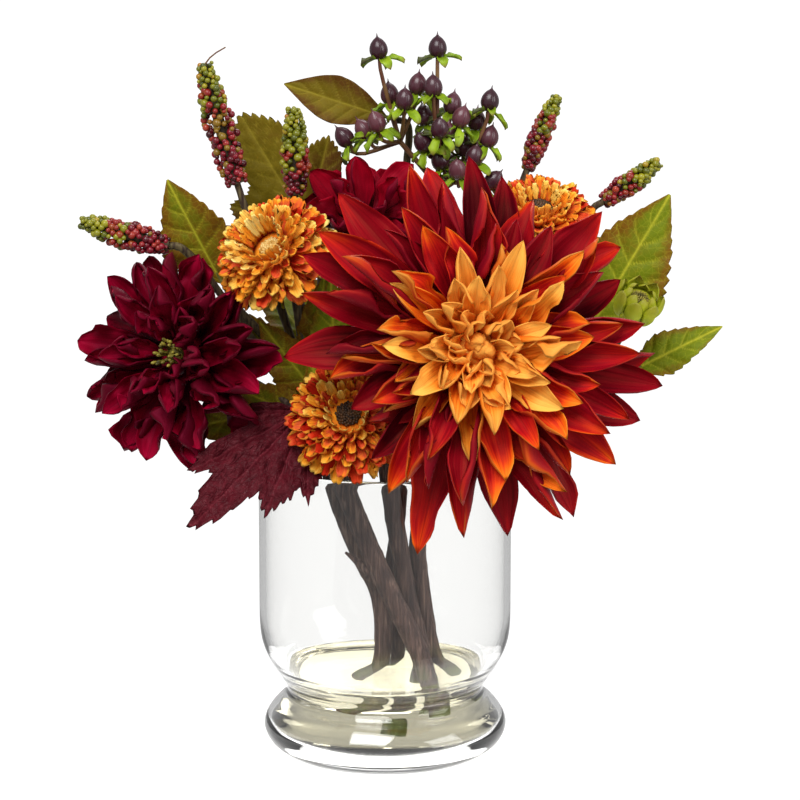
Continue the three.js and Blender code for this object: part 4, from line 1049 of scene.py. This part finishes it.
def make_chrysanthemums():
    """The three chrysanthemums, each with its petals, its beaded disc and its calyx."""
    # `dark` sets how strongly painted shade darkens each petal's root.
    cloth = petal_cloth("gold and red petal cloth", [
        (0.0, "A8180C"), (0.18, "CC341A"), (0.32, "DC5A34"), (0.43, "E87A24"), (0.57, "F29C28"),
        (0.74, settings("flowers").mum_gold), (0.88, "F6CC62"), (1.0, "F4DA80")], "DC8C2C",
        along=0.22, layer=0.74, tip=0.1, roughness=0.62, ribs=9, depth=0.3, patch=0.5, dark=0.2,
        shine="FFC468")
    heart = plain_skin("pale flower heart", "B8882E", "EED48C", scale=500)
    bead = ball("mum bead", 0.85, 1)
    for i, (name, (redder, sunk)) in enumerate(MUMS.items()):
        home = frame_at(*BLOOMS[name])
        rings = [
            Ring(*row)._replace(length=row[1] + (sunk if k > 4 else 0), gold=row[9] - redder)
            for k, row in enumerate(MUM)]
        petals = bloom(name, home, rings, [], 51 + i, [], SPOON, cloth, core=(11, 0, 9.5 - sunk),
                       curl=0.2, twist=30, wave=0.3, loose=24, notch=0.12, rows=8, cols=6, kinds=9,
                       gold=0.3, stain=0.42)
        place(name, petals, [name + "_petals"], "gold_red_silk")
        centre = heart if sunk else materials["disc"]
        dome = seed_head(home, 70, MUM_DISC, lambda out: 10.6 - sunk + 1.6 * (1 - (out / 6) ** 2))
        spots = [(spot, 0, (k * 0.618) % 1) for k, spot in enumerate(dome)]
        beads = set_on_spots(name + "_beads", [bead], spots, centre)
        button = turned("button", round_off([
            (0, 9.8), (MUM_DISC, 9.8), (5.4, 10.8), (3, 12), (0, 12.2)], 2), 20)
        put(button, home @ Matrix.Translation((0, 0, -sunk)), centre)
        place(name + "_disc", joined("disc", [beads, button]), [name + "_disc"], "flower_disc")
        calyx(name)


def ball(name, radius, rounds=2):
    """A small round bead of few faces."""
    work = bmesh.new()
    bmesh.ops.create_icosphere(work, subdivisions=rounds, radius=radius * MM)
    for face in work.faces:
        face.smooth = True
    mesh = bpy.data.meshes.new(name)
    work.to_mesh(mesh)
    work.free()
    return mesh


# ---------------------------------------------------------------- leaves

def leaf_blade(name, length, width, teeth, tint):
    """A leaf blade along +X with a folded midrib and quilted side veins. Without teeth it is oval."""
    rows, cols = (teeth or 10) * 6, 40
    widest, fold, cut, waviness = (0.4, 8, 0.12, 0.9) if teeth else (0.52, 14, 0.0, 0.4)
    s = np.linspace(0, 1, rows + 1)
    t = np.linspace(-1, 1, cols + 1)
    swell = np.where(s < widest, s / widest, (1 - s) / (1 - widest))
    share = np.sin(math.pi / 2 * np.minimum(1, swell * 0.97 + 0.02))
    share = share * np.where(s > widest, 0.82 + 0.18 * swell, 1)
    bite = 1 - cut * (1 - (s * (teeth or 1)) % 1) * (1 - s ** 6)
    half = (width / 2 * share * bite)[:, None]
    S, T = np.meshgrid(s, t, indexing="ij")
    side_veins = (teeth or 12) * 0.55
    off = np.abs(((S - 0.1764 * np.abs(T)) * side_veins + 0.5) % 1 - 0.5)
    quilt = 0.45 * np.sin(math.pi * off * 2 - 1) * np.minimum(1, np.abs(T) * 4) * share[:, None]
    ripple = np.sin(S * 4 * math.pi) * share[:, None] * T * waviness
    lift = half * np.abs(T) ** 1.15 * math.sin(math.radians(fold)) - ripple + quilt
    y = half * T * math.cos(math.radians(fold))
    x = length * S
    droop = -0.00036 * x ** 2
    depth = settings("foliage").leaf_thickness / MM * np.sqrt(1 - T ** 2) * np.minimum(1, (1 - S) * 10)
    midrib = np.exp(-(np.abs(y) / 0.6) ** 2)
    vein = np.maximum(midrib, np.exp(-(off / 0.045) ** 2) * (1 - 0.7 * np.abs(T)) * 0.8)
    sheet = lambda w: np.stack([x, y, droop + w], -1)
    values = {"vein": vein, "tint": np.full(vein.shape, tint)}
    return two_skins(name, sheet(lift + 0.3 * depth), sheet(lift - 0.7 * depth), values)


def lobe_marks(lobes, full):
    """The outline of a lobed blade as marks of direction, reach and rise, from lobe to notch to lobe."""
    turn, length, spread = lobes[0]
    marks = [(turn - spread, length * 0.45, 0.5)]
    for i, (turn, length, spread) in enumerate(lobes):
        shoulder = length * 0.84
        marks += [(turn - spread * 0.55, shoulder, 0.8), (turn, length, 0),
                  (turn + spread * 0.55, shoulder, 0.8)]
        if i + 1 < len(lobes):
            next_turn, next_length, next_spread = lobes[i + 1]
            notch = (turn + spread + next_turn - next_spread) / 2
            marks.append((notch, min(length, next_length) * (0.97 if full else 0.88), 0.5))
        else:
            marks.append((turn + spread, length * 0.45, 0.5))
    return marks


def lobed_blade(name, wave, droop, lobes, crinkle, tint, full):
    """A blade of pointed lobes that fan out from its stalk, each folded at its rib and toothed."""
    angles, radii, rises = (np.array(column, float) for column in zip(*lobe_marks(lobes, full)))
    cols, rows = 120, 34
    ribs = [lobe[0] for lobe in lobes]
    turn = np.sort(np.unique(np.concatenate([np.linspace(angles[0], angles[-1], cols + 1), ribs])))
    saw = np.abs((turn * 0.28) % 1 - 0.5) * 2
    radius = np.interp(turn, angles, radii) * (1 - (0.08 if full else 0.055) * saw)
    rise = np.interp(turn, angles, rises)
    S, A = np.meshgrid(np.linspace(0, 1, rows + 1), np.radians(turn), indexing="ij")
    R = S * radius[None, :]
    x, y = R * np.cos(A), R * np.sin(A)
    bumps = np.sin(0.42 * x + 1.4 * np.sin(0.23 * y)) * np.sin(0.5 * y + 1.1 * np.sin(0.31 * x))
    z = wave * rise[None, :] * S - droop * R ** 2 + crinkle * bumps * np.minimum(1, S * 3)
    vein = np.zeros_like(R)
    for rib in ribs:
        delta = A - math.radians(rib)
        near = np.abs(R * np.sin(delta))
        side = np.abs(((R * np.cos(delta) - 1.1 * near) / 8.0 + 0.5) % 1 - 0.5)
        owned = np.abs(delta) < math.radians(13)
        vein = np.maximum(vein, np.exp(-(near / 0.8) ** 2))
        vein = np.maximum(vein, np.where(owned, np.exp(-(side / 0.09) ** 2) * 0.7, 0))
    z = z - 0.35 * vein
    depth = settings("foliage").leaf_thickness / MM * np.minimum(1, (1 - S) * 9)
    depth = depth * np.minimum(1, np.minimum(A - A[:, :1], A[:, -1:] - A) * 12)
    sheet = lambda w: np.stack([x, y, z + w], -1)
    values = {"vein": vein, "tint": np.full(vein.shape, tint)}
    return two_skins(name, sheet(0.3 * depth), sheet(-0.7 * depth), values)


def make_leaves():
    """The nine large leaves, each with its stalk."""
    green = (materials["leaf"], "green_leaf")
    brown_cloth = leaf_cloth("brown leaf cloth", tone("706010"), tone("58380C"), tone("8A7A20"),
                             edge_brown=0.36)
    brown = (brown_cloth, "brown_leaf")
    maroon_cloth = leaf_cloth("maroon leaf cloth", tone("50101A"), tone("30080F"), tone("6A222C"),
                              edge_brown=0.2, roughness=0.45, crinkle=1.2, crease_and_shade=1.1)
    for name, (at, along, shows, stalk, length, width, teeth, brownness) in LEAVES.items():
        blade = leaf_blade(name, length, width, teeth, brownness * 0.5)
        finish_leaf(name, blade, blade_frame(at, along, shows), stalk, *(green if teeth else brown))
    at, along, shows, stalk, *shape = LOBED["leaf_maroon_lobed"]
    blade = lobed_blade("leaf_maroon_lobed", *shape, crinkle=1.3, tint=0.1, full=True)
    finish_leaf("leaf_maroon_lobed", blade, blade_frame(at, along, shows), stalk, maroon_cloth, "maroon_leaf")
    at, along, shows, stalk, *shape = LOBED["leaf_olive_lobed"]
    blade = lobed_blade("leaf_olive_lobed", *shape, crinkle=0.4, tint=0.25, full=False)
    finish_leaf("leaf_olive_lobed", blade, blade_frame(at, along, shows), stalk, *brown)


def finish_leaf(name, blade, home, stalk, cloth, slot):
    """Joins a leaf's blade to its stalk and puts it in place."""
    put(blade, home, cloth)
    line = [home @ Vector((x, 0, 0)) for x in np.linspace(STALK_FOOT - stalk, 6, 8)]
    rod = rods(name + ".stalk", [(line, np.linspace(1.15, 0.5, 8))], materials["twig"])
    place(name, joined(name, [blade, rod]), [name], slot)


# ---------------------------------------------------------------- spikes, hypericum and bud

def spike_beads(home, length, girth, bow, ripe, random):
    """Spots for a spike's small berries, in a spiral round it: the ripe ones and the green ones."""
    size = settings("foliage").bead_size / MM
    spots = {"ripe": [], "green": []}
    steps = int(length * 3.9)
    for k in range(steps):
        s = (k + 0.5) / steps
        r = girth * (0.3 + 0.7 * math.sin(math.pi * (0.16 + 0.76 * s)))
        bead = size * (0.46 + 0.5 * r / girth) * (0.66 + 0.6 * next(random))
        out = max(0.0, r - bead * 0.7) * (0.74 + 0.46 * next(random))
        turn = k * GOLDEN_TURN + next(random) * 0.6
        spot = Vector((s * length, out * math.cos(turn) + bow * s * s, out * math.sin(turn)))
        part = "ripe" if s < ripe else "green"
        tint = 0.5 * next(random) + 0.42 * next(random)
        if part == "green" and s < ripe + 0.25 and next(random) < 0.5:
            tint = 1.0
        if part == "ripe" and next(random) < 0.12 + 0.4 * s:
            tint = 1.0
        there = home @ Matrix.Translation(spot) @ Matrix.Diagonal((bead, bead, bead, 1))
        spots[part].append((there, 0, tint))
    return spots


def make_spikes():
    """The five spikes of small berries, each as a ripe part and a green part round a thin core."""
    bead = ball("spike bead", 1.0, 2)
    skins = {
        "ripe": berry_skin("ripe berries", [
            (0.0, "2A040C"), (0.3, "5E0A18"), (0.55, "861426"), (0.78, "A23A26"), (1.0, "7E6216")]),
        "green": berry_skin("green berries", [
            (0.0, "363E08"), (0.35, "666A0E"), (0.7, "98921C"), (0.86, "A4701E"), (1.0, "861E1A")]),
    }
    marks = 16
    for name, (at, along, length, girth, bow, ripe) in SPIKES.items():
        home = blade_frame(at, along, FRONT)
        spots = spike_beads(home, length, girth, bow, ripe, draws(int(length * 7)))
        axis = [home @ Vector((s * length, bow * s * s, 0)) for s in np.linspace(0, 1, marks)]
        radii = np.linspace(girth * 0.55, girth * 0.2, marks)
        cut = max(2, int(marks * ripe))
        for part, span in (("ripe", slice(0, cut)), ("green", slice(cut - 1, marks))):
            label = f"{name}_{part}"
            beads = set_on_spots(label + "_beads", [bead], spots[part], skins[part])
            parts = [beads, rods(name + ".core", [(axis[span], radii[span])], materials["core"])]
            if label == WIRED_SPIKE + "_green":
                wire = [axis[-1] + Vector((0.6 * t * t, 0, 2.4 * t - 2)) for t in range(5)]
                parts.append(rods(name + ".wire", [(wire, [0.45, 0.4, 0.36, 0.34, 0.32])],
                                  materials["red twig"], sides=8))
            place(label, joined(name, parts), [label], part + "_bead")


def make_hypericum():
    """The spray of dark berries, each on a stalk with five drooping sepals."""
    skin = berry_skin("hypericum berries", [
        (0.0, "32141E"), (0.5, "4A2630"), (1.0, "62363E")], roughness=0.26, scale=120, ribs=15.7)
    body = turned("hypericum berry", round_off([
        (0, 0), (2.6, 0.2), (4.1, 2.6), (4.3, 4.6), (3.7, 7.0), (2.2, 9.0), (0.8, 10.0), (0.35, 10.6),
        (0.12, 12), (0, 12.1)], 1), sides=18, flute=0.02, lobes=5)
    half_tall = 5.25
    sepal = petal("hypericum sepal", 11.5, 5.4, POINTED, bend=-50, fold=24, flick=-34, curl=0.3, twist=24,
                  wave=0.2, thick=0.7, rows=10, cols=6)
    berries, sepals, lines = [], [], []
    random = draws(61)
    for fork, start, middles in SPRAY:
        lines.append(([start, fork], [1.3, 1.2]))
        for j, middle in enumerate(middles):
            rise = (Vector(middle) - Vector(fork)).normalized()
            rise.z += 1.2
            rise.normalize()
            foot = Vector(middle) - rise * half_tall
            home = frame_at(foot, rise)
            berries.append((home, 0, (j * 0.31) % 1))
            for k in range(5):
                turn = Matrix.Rotation(math.radians(72 * k + 25 * j), 4, "Z")
                droop = Matrix.Rotation(math.radians(-26 + 44 * next(random)), 4, "Y")
                size = Matrix.Diagonal((0.7 + 0.4 * next(random), 0.8 + 0.3 * next(random), 1, 1))
                spot = home @ turn @ Matrix.Translation((0.8, 0, 0.1)) @ droop @ size
                sepals.append((spot, 0, (0.3 * k + 0.17 * j) % 1))
            line = smooth_line([fork, foot - rise * 5, foot + rise * 0.4], 9)
            lines.append((line, np.linspace(1.0, 0.85, 9)))
    fruit = set_on_spots("hypericum.berries", [body], berries, skin)
    cups = set_on_spots("hypericum.sepals", [sepal], sepals, materials["lime"], loose=0.14, seed=5)
    twigs = rods("hypericum.twigs", lines, materials["red twig"], lump=0.15, grain=600)
    spray = joined("hypericum", [fruit, cups, twigs])
    place("hypericum_spray", spray, ["hypericum_spray"], "hypericum_berry")


def make_bud():
    """The green bud in its two rings of sepals, with a small tuft in its mouth."""
    home, skin = frame_at(*BUD), materials["bud"]
    globe = turned("bud globe", round_off([
        (0, 0), (3, 0.2), (7.2, 4), (8, 8), (6.9, 12), (4.6, 13.4), (3, 12.4), (0, 12)], 2),
        sides=28, flute=0.03, lobes=6)
    outer = petal("bud sepal", 17, 9.5, POINTED, bend=84, fold=22, flick=-30, curl=0.2, wave=0.08, thick=0.9,
                  rows=14, cols=8)
    inner = petal("bud inner sepal", 13, 7, POINTED, bend=88, fold=22, flick=-30, curl=0.2, wave=0.1,
                  thick=0.8, rows=12, cols=8)
    count = 7
    spots = []
    for k in range(count):
        for kind, root, height, lean, tint in ((0, 6.6, 1.8, -40, 0.41), (1, 7.0, 5, -60, 0.23)):
            turn = Matrix.Rotation((k + kind / 2) / count * 2 * math.pi, 4, "Z")
            tilt = Matrix.Translation((root, 0, height)) @ Matrix.Rotation(math.radians(lean), 4, "Y")
            spots.append((home @ turn @ tilt, kind, (k * tint) % 0.8))
    sepals = set_on_spots("bud sepals", [outer, inner], spots, skin)
    tall = Matrix.Diagonal((1, 1, 2.2, 1))
    fluff = [(spot @ tall, 0, 0.2) for spot in seed_head(home, 60, 4.4, lambda out: 12.4)]
    tuft = set_on_spots("bud tuft", [ball("bud fluff", 0.6, 1)], fluff, materials["stamen"])
    place("bud", joined("bud", [put(globe, home, skin), sepals, tuft]), ["bud"], "bud_green")


# ---------------------------------------------------------------- jar and stems

def make_jar():
    """The glass jar as one closed body, and the set water in its foot and waist."""
    jar = settings("jar")
    height, radius, glass = jar.height / MM, jar.radius / MM, jar.glass / MM
    floor, level = jar.floor / MM, jar.water_level / MM
    bore, floor_radius = radius - glass, 46
    straight, upper = JAR_WALL_MARKS
    outside = round_off([*JAR_FOOT_AND_WAIST, (radius, JAR_SHOULDER), (radius, straight)], 3)
    inside = round_off([
        (48, floor), (54, 12), (50, 18.5), (41, 26), (42.5, 31.5), (46, level), (52.5, 48),
        (bore, JAR_SHOULDER), (bore, straight)], 4)
    # Faint rings from blowing, which break up what is seen through the waist.
    ripple = np.clip((inside[:, 1] - 20) / 3, 0, 1) * np.clip((level + 5 - inside[:, 1]) / 3, 0, 1)
    inside[:, 0] += 0.3 * ripple * np.sin(2 * math.pi * inside[:, 1] / 4.6)
    lip = 4
    rim = round_off([(radius, height - lip), (radius, height), (bore, height), (bore, height - lip)], 2)
    profile = np.concatenate([[(0, 0), (floor_radius, 0)], outside, [(radius, upper)], rim, [(bore, upper)],
                              inside[::-1], [(floor_radius, floor), (0, floor)]])
    body = turned("jar", profile, JAR_SIDES)
    body.materials.append(clear_body("clear glass", jar.glass_colour, ior=1.45))
    place("jar", body, ["jar"], "clear_glass").visible_shadow = False
    below = np.array([(r - 0.35, z) for r, z in inside if z < level])[1:]
    edge = np.interp(level - 1.2, inside[:, 1], inside[:, 0]) - 0.5
    surface = [(edge, level - 0.6), (edge - 3, level - 1.1), (0, level - 1.2)]
    profile = np.concatenate([[(0, floor + 0.4), (floor_radius, floor + 0.4)], below, surface])
    water = turned("water", profile, JAR_SIDES)
    water.materials.append(clear_body("set water", jar.water_colour, ior=1.38))
    place("water", water, ["water"], "set_water").visible_shadow = False


def seat_of(key):
    """The last two points of the twig that carries a bloom, leaf, spike, spray or bud."""
    if key in LEAVES or key in LOBED:
        at, along, _, stalk = (LEAVES.get(key) or LOBED[key])[:4]
        way = Vector(along).normalized()
        end = Vector(at) + way * (STALK_FOOT - stalk)
    elif key in SPIKES:
        at, along = SPIKES[key][:2]
        way, end = Vector(along).normalized(), Vector(at)
    elif key == "spray":
        way, end = Vector((0, 0, 1)), Vector(SPRAY_FOOT)
    else:
        at, faces, _ = BUD if key == "bud" else BLOOMS[key]
        depth = 0 if key == "bud" else CALYX[key.split("_")[0]][1]
        way = Vector(faces).normalized()
        end = Vector(at) - way * depth
    return [end - way * SEAT_RUN, end + way * SEAT_DEPTH]


def make_stems():
    """The five woody stems, each with its trunk, its twigs and the small leaves on them."""
    for name, (radius, trunk, twigs) in STEMS.items():
        marks, twig_marks = 70, 40
        along = np.linspace(0, 1, marks)
        knots = 0.06 * np.exp(-(((along * 4.3 + radius) % 1 - 0.5) / 0.07) ** 2)
        lines = [(smooth_line(trunk, marks), radius * (0.93 + knots + 0.05 * along))]
        top = Vector(trunk[-1]).lerp(Vector(trunk[-2]), 0.15)
        for via, key in twigs:
            path = smooth_line([top, *via, *seat_of(key)], twig_marks)
            lines.append((path, np.linspace(*TWIG_RADII, twig_marks)))
        if name == "stem_front":
            lines.append(BROKEN_TWIG)
        parts = [rods(name, lines, materials["bark"], sides=20, lump=0.7, grain=700)]
        for i, (at, way, shows, length, width) in enumerate(TWIG_LEAVES[name]):
            blade = leaf_blade(name + ".leaf", length, width, 9, 0.3 + 0.1 * ((i + 1) % 2))
            parts.append(put(blade, blade_frame(at, way, shows), materials["leaf"]))
        place(name, joined(name, parts), [name], "stem_bark")


# ---------------------------------------------------------------- stage

def add_object(name, data, at, looks):
    """A light or the camera, at a place and looking along a direction."""
    made = bpy.data.objects.new(name, data)
    made.location = at
    made.rotation_euler = Vector(looks).to_track_quat("-Z", "Y").to_euler()
    bpy.context.scene.collection.objects.link(made)
    return made


def studio_world(stage):
    """White all round: full strength as it is seen, and dimmer as light and in reflections."""
    world = bpy.data.worlds.new("studio")
    world.use_nodes = True
    nodes, links = world.node_tree.nodes, world.node_tree.links
    sky, seen = nodes["Background"].inputs, nodes.new("ShaderNodeLightPath").outputs
    level = nodes.new("ShaderNodeMath")
    level.operation = "MULTIPLY"
    for i, (depth, clear, share) in enumerate((
        ("Diffuse Depth", 1.1, stage.sky), ("Glossy Depth", 1.0, stage.mirrored),
    )):
        dimmed = nodes.new("ShaderNodeMapRange")
        links.new(seen[depth], dimmed.inputs["Value"])
        dimmed.inputs["To Min"].default_value, dimmed.inputs["To Max"].default_value = clear, share
        links.new(dimmed.outputs[0], level.inputs[i])
    sky["Color"].default_value = (1.0, 1.0, 1.0, 1.0)
    links.new(level.outputs[0], sky["Strength"])
    return world


def make_stage():
    """A small pale disc to stand on, three lights, the world and the camera."""
    stage = settings("stage")
    scene = bpy.context.scene
    sides, below = 96, 0.0002
    turns = np.linspace(0, 2 * math.pi, sides, endpoint=False)
    mesh = bpy.data.meshes.new("floor")
    mesh.from_pydata([(FLOOR_RADIUS * math.cos(a), FLOOR_RADIUS * math.sin(a), -below) for a in turns], [],
                     [tuple(range(sides))])
    p = Paint("pale floor", Roughness=0.7, Specular_IOR_Level=0.1, Emission_Strength=0.3)
    mesh.materials.append(p.surface({
        "Base Color": p.mix(p.noise(3.0, 2) * 0.3, "FAFAFA", "F6F6F6"), "Emission Color": tone("FFFFFF")}))
    show(mesh, "floor")
    for name, at, size, power in LIGHTS:
        data = bpy.data.lights.new(name, "AREA")
        data.energy, data.size = getattr(stage, power), size
        add_object(name, data, at, Vector(LIGHT_TARGET) - Vector(at))
    scene.world = studio_world(stage)
    scene.view_settings.view_transform = "Standard"
    data = bpy.data.cameras.new("camera")
    data.lens, data.sensor_width, data.clip_end = stage.lens, CAMERA_SENSOR_MM, 20.0
    scene.camera = add_object("camera", data, CAMERA_AT, CAMERA_LOOKS)


# ---------------------------------------------------------------- add-on

materials = {}
trees = {}


def make_shared():
    """Node trees and finishes that several pieces use."""
    trees["spots"], trees["rods"] = spots_tree(), rods_tree()
    foliage = settings("foliage")
    materials["bark"] = bark_skin()
    materials["leaf"] = leaf_cloth("green leaf cloth", tone(foliage.leaf_green), tone(foliage.leaf_brown),
                                   tone(foliage.vein_yellow), edge_brown=0.35)
    materials["lime"] = lime_skin("lime sepals", "6A8612", "93AC18", 0.72)
    materials["bud"] = lime_skin("bud scales", "A2AE12", "D0D630", 0.5)
    for key, name, dark, pale, roughness, scale in (
        ("sepal", "sepal green", "3E4E16", "76862A", 0.6, 200.0),
        ("stamen", "stamens", "3A3410", "A89A3A", 0.5, 320.0),
        ("disc", "flower disc", "1E120C", "5A3A1C", 0.5, 500.0),
        ("twig", "leaf stalk", "4E4A20", "7E7634", 0.6, 150.0),
        ("red twig", "red twig", "5A2A20", "7A5A34", 0.5, 90.0),
        ("core", "spike core", "2A2012", "4A3A1C", 0.7, 300.0),
    ):
        materials[key] = plain_skin(name, dark, pale, roughness, scale)


class BOUQUET_OT_shared(bpy.types.Operator):
    """Make the node trees and shared finishes"""
    bl_idname, bl_label = "bouquet.shared", "Finishes"

    def execute(self, context):
        make_shared()
        return {"FINISHED"}


class BOUQUET_OT_stage(bpy.types.Operator):
    """Make the floor, the lights and the camera"""
    bl_idname, bl_label = "bouquet.stage", "Stage"

    def execute(self, context):
        make_stage()
        return {"FINISHED"}


class BOUQUET_OT_jar(bpy.types.Operator):
    """Make the glass jar and the set water"""
    bl_idname, bl_label = "bouquet.jar", "Jar and water"

    def execute(self, context):
        make_jar()
        return {"FINISHED"}


class BOUQUET_OT_stems(bpy.types.Operator):
    """Make the five woody stems and their twigs"""
    bl_idname, bl_label = "bouquet.stems", "Stems"

    def execute(self, context):
        make_stems()
        return {"FINISHED"}


class BOUQUET_OT_dahlia(bpy.types.Operator):
    """Make the crimson and golden dahlia"""
    bl_idname, bl_label = "bouquet.dahlia", "Large dahlia"

    def execute(self, context):
        make_dahlia()
        return {"FINISHED"}


class BOUQUET_OT_burgundy(bpy.types.Operator):
    """Make the dark dahlia and its stamens"""
    bl_idname, bl_label = "bouquet.burgundy", "Burgundy dahlia"

    def execute(self, context):
        make_burgundy()
        return {"FINISHED"}


class BOUQUET_OT_red(bpy.types.Operator):
    """Make the red bloom at the back"""
    bl_idname, bl_label = "bouquet.red", "Red bloom"

    def execute(self, context):
        make_red()
        return {"FINISHED"}


class BOUQUET_OT_chrysanthemums(bpy.types.Operator):
    """Make the three golden chrysanthemums"""
    bl_idname, bl_label = "bouquet.chrysanthemums", "Chrysanthemums"

    def execute(self, context):
        make_chrysanthemums()
        return {"FINISHED"}


class BOUQUET_OT_leaves(bpy.types.Operator):
    """Make the toothed, oval and lobed leaves"""
    bl_idname, bl_label = "bouquet.leaves", "Leaves"

    def execute(self, context):
        make_leaves()
        return {"FINISHED"}


class BOUQUET_OT_spikes(bpy.types.Operator):
    """Make the five spikes of small berries"""
    bl_idname, bl_label = "bouquet.spikes", "Berry spikes"

    def execute(self, context):
        make_spikes()
        return {"FINISHED"}


class BOUQUET_OT_hypericum(bpy.types.Operator):
    """Make the spray of dark berries"""
    bl_idname, bl_label = "bouquet.hypericum", "Hypericum"

    def execute(self, context):
        make_hypericum()
        return {"FINISHED"}


class BOUQUET_OT_bud(bpy.types.Operator):
    """Make the green bud"""
    bl_idname, bl_label = "bouquet.bud", "Bud"

    def execute(self, context):
        make_bud()
        return {"FINISHED"}


OPERATORS = (
    BOUQUET_OT_shared, BOUQUET_OT_stage, BOUQUET_OT_jar, BOUQUET_OT_stems,
    BOUQUET_OT_dahlia, BOUQUET_OT_burgundy, BOUQUET_OT_red, BOUQUET_OT_chrysanthemums,
    BOUQUET_OT_leaves, BOUQUET_OT_spikes, BOUQUET_OT_hypericum, BOUQUET_OT_bud,
)


class BOUQUET_PT_pieces(bpy.types.Panel):
    """Lists the pieces of the bouquet and their settings."""
    bl_idname = "BOUQUET_PT_pieces"
    bl_label = "Dahlias in a jar"
    bl_space_type = "VIEW_3D"
    bl_region_type = "UI"
    bl_category = "Bouquet"

    def draw(self, context):
        for kind in GROUPS:
            box = self.layout.box()
            group = settings(kind)
            for key in group.bl_rna.properties.keys():
                if key not in ("rna_type", "name"):
                    box.prop(group, key)
        for made in OPERATORS:
            self.layout.operator(made.bl_idname)


GROUPS = {"jar": JarSettings, "flowers": FlowerSettings, "foliage": FoliageSettings, "stage": StageSettings}


def register():
    for made in (*GROUPS.values(), *OPERATORS, BOUQUET_PT_pieces):
        bpy.utils.register_class(made)
    for kind, made in GROUPS.items():
        setattr(bpy.types.Scene, "bouquet_" + kind, bpy.props.PointerProperty(type=made))


def unregister():
    for kind in GROUPS:
        delattr(bpy.types.Scene, "bouquet_" + kind)
    for made in reversed((*GROUPS.values(), *OPERATORS, BOUQUET_PT_pieces)):
        bpy.utils.unregister_class(made)


def main():
    register()
    for made in OPERATORS:
        group, action = made.bl_idname.split(".")
        getattr(getattr(bpy.ops, group), action)()


if __name__ == "__main__":
    main()
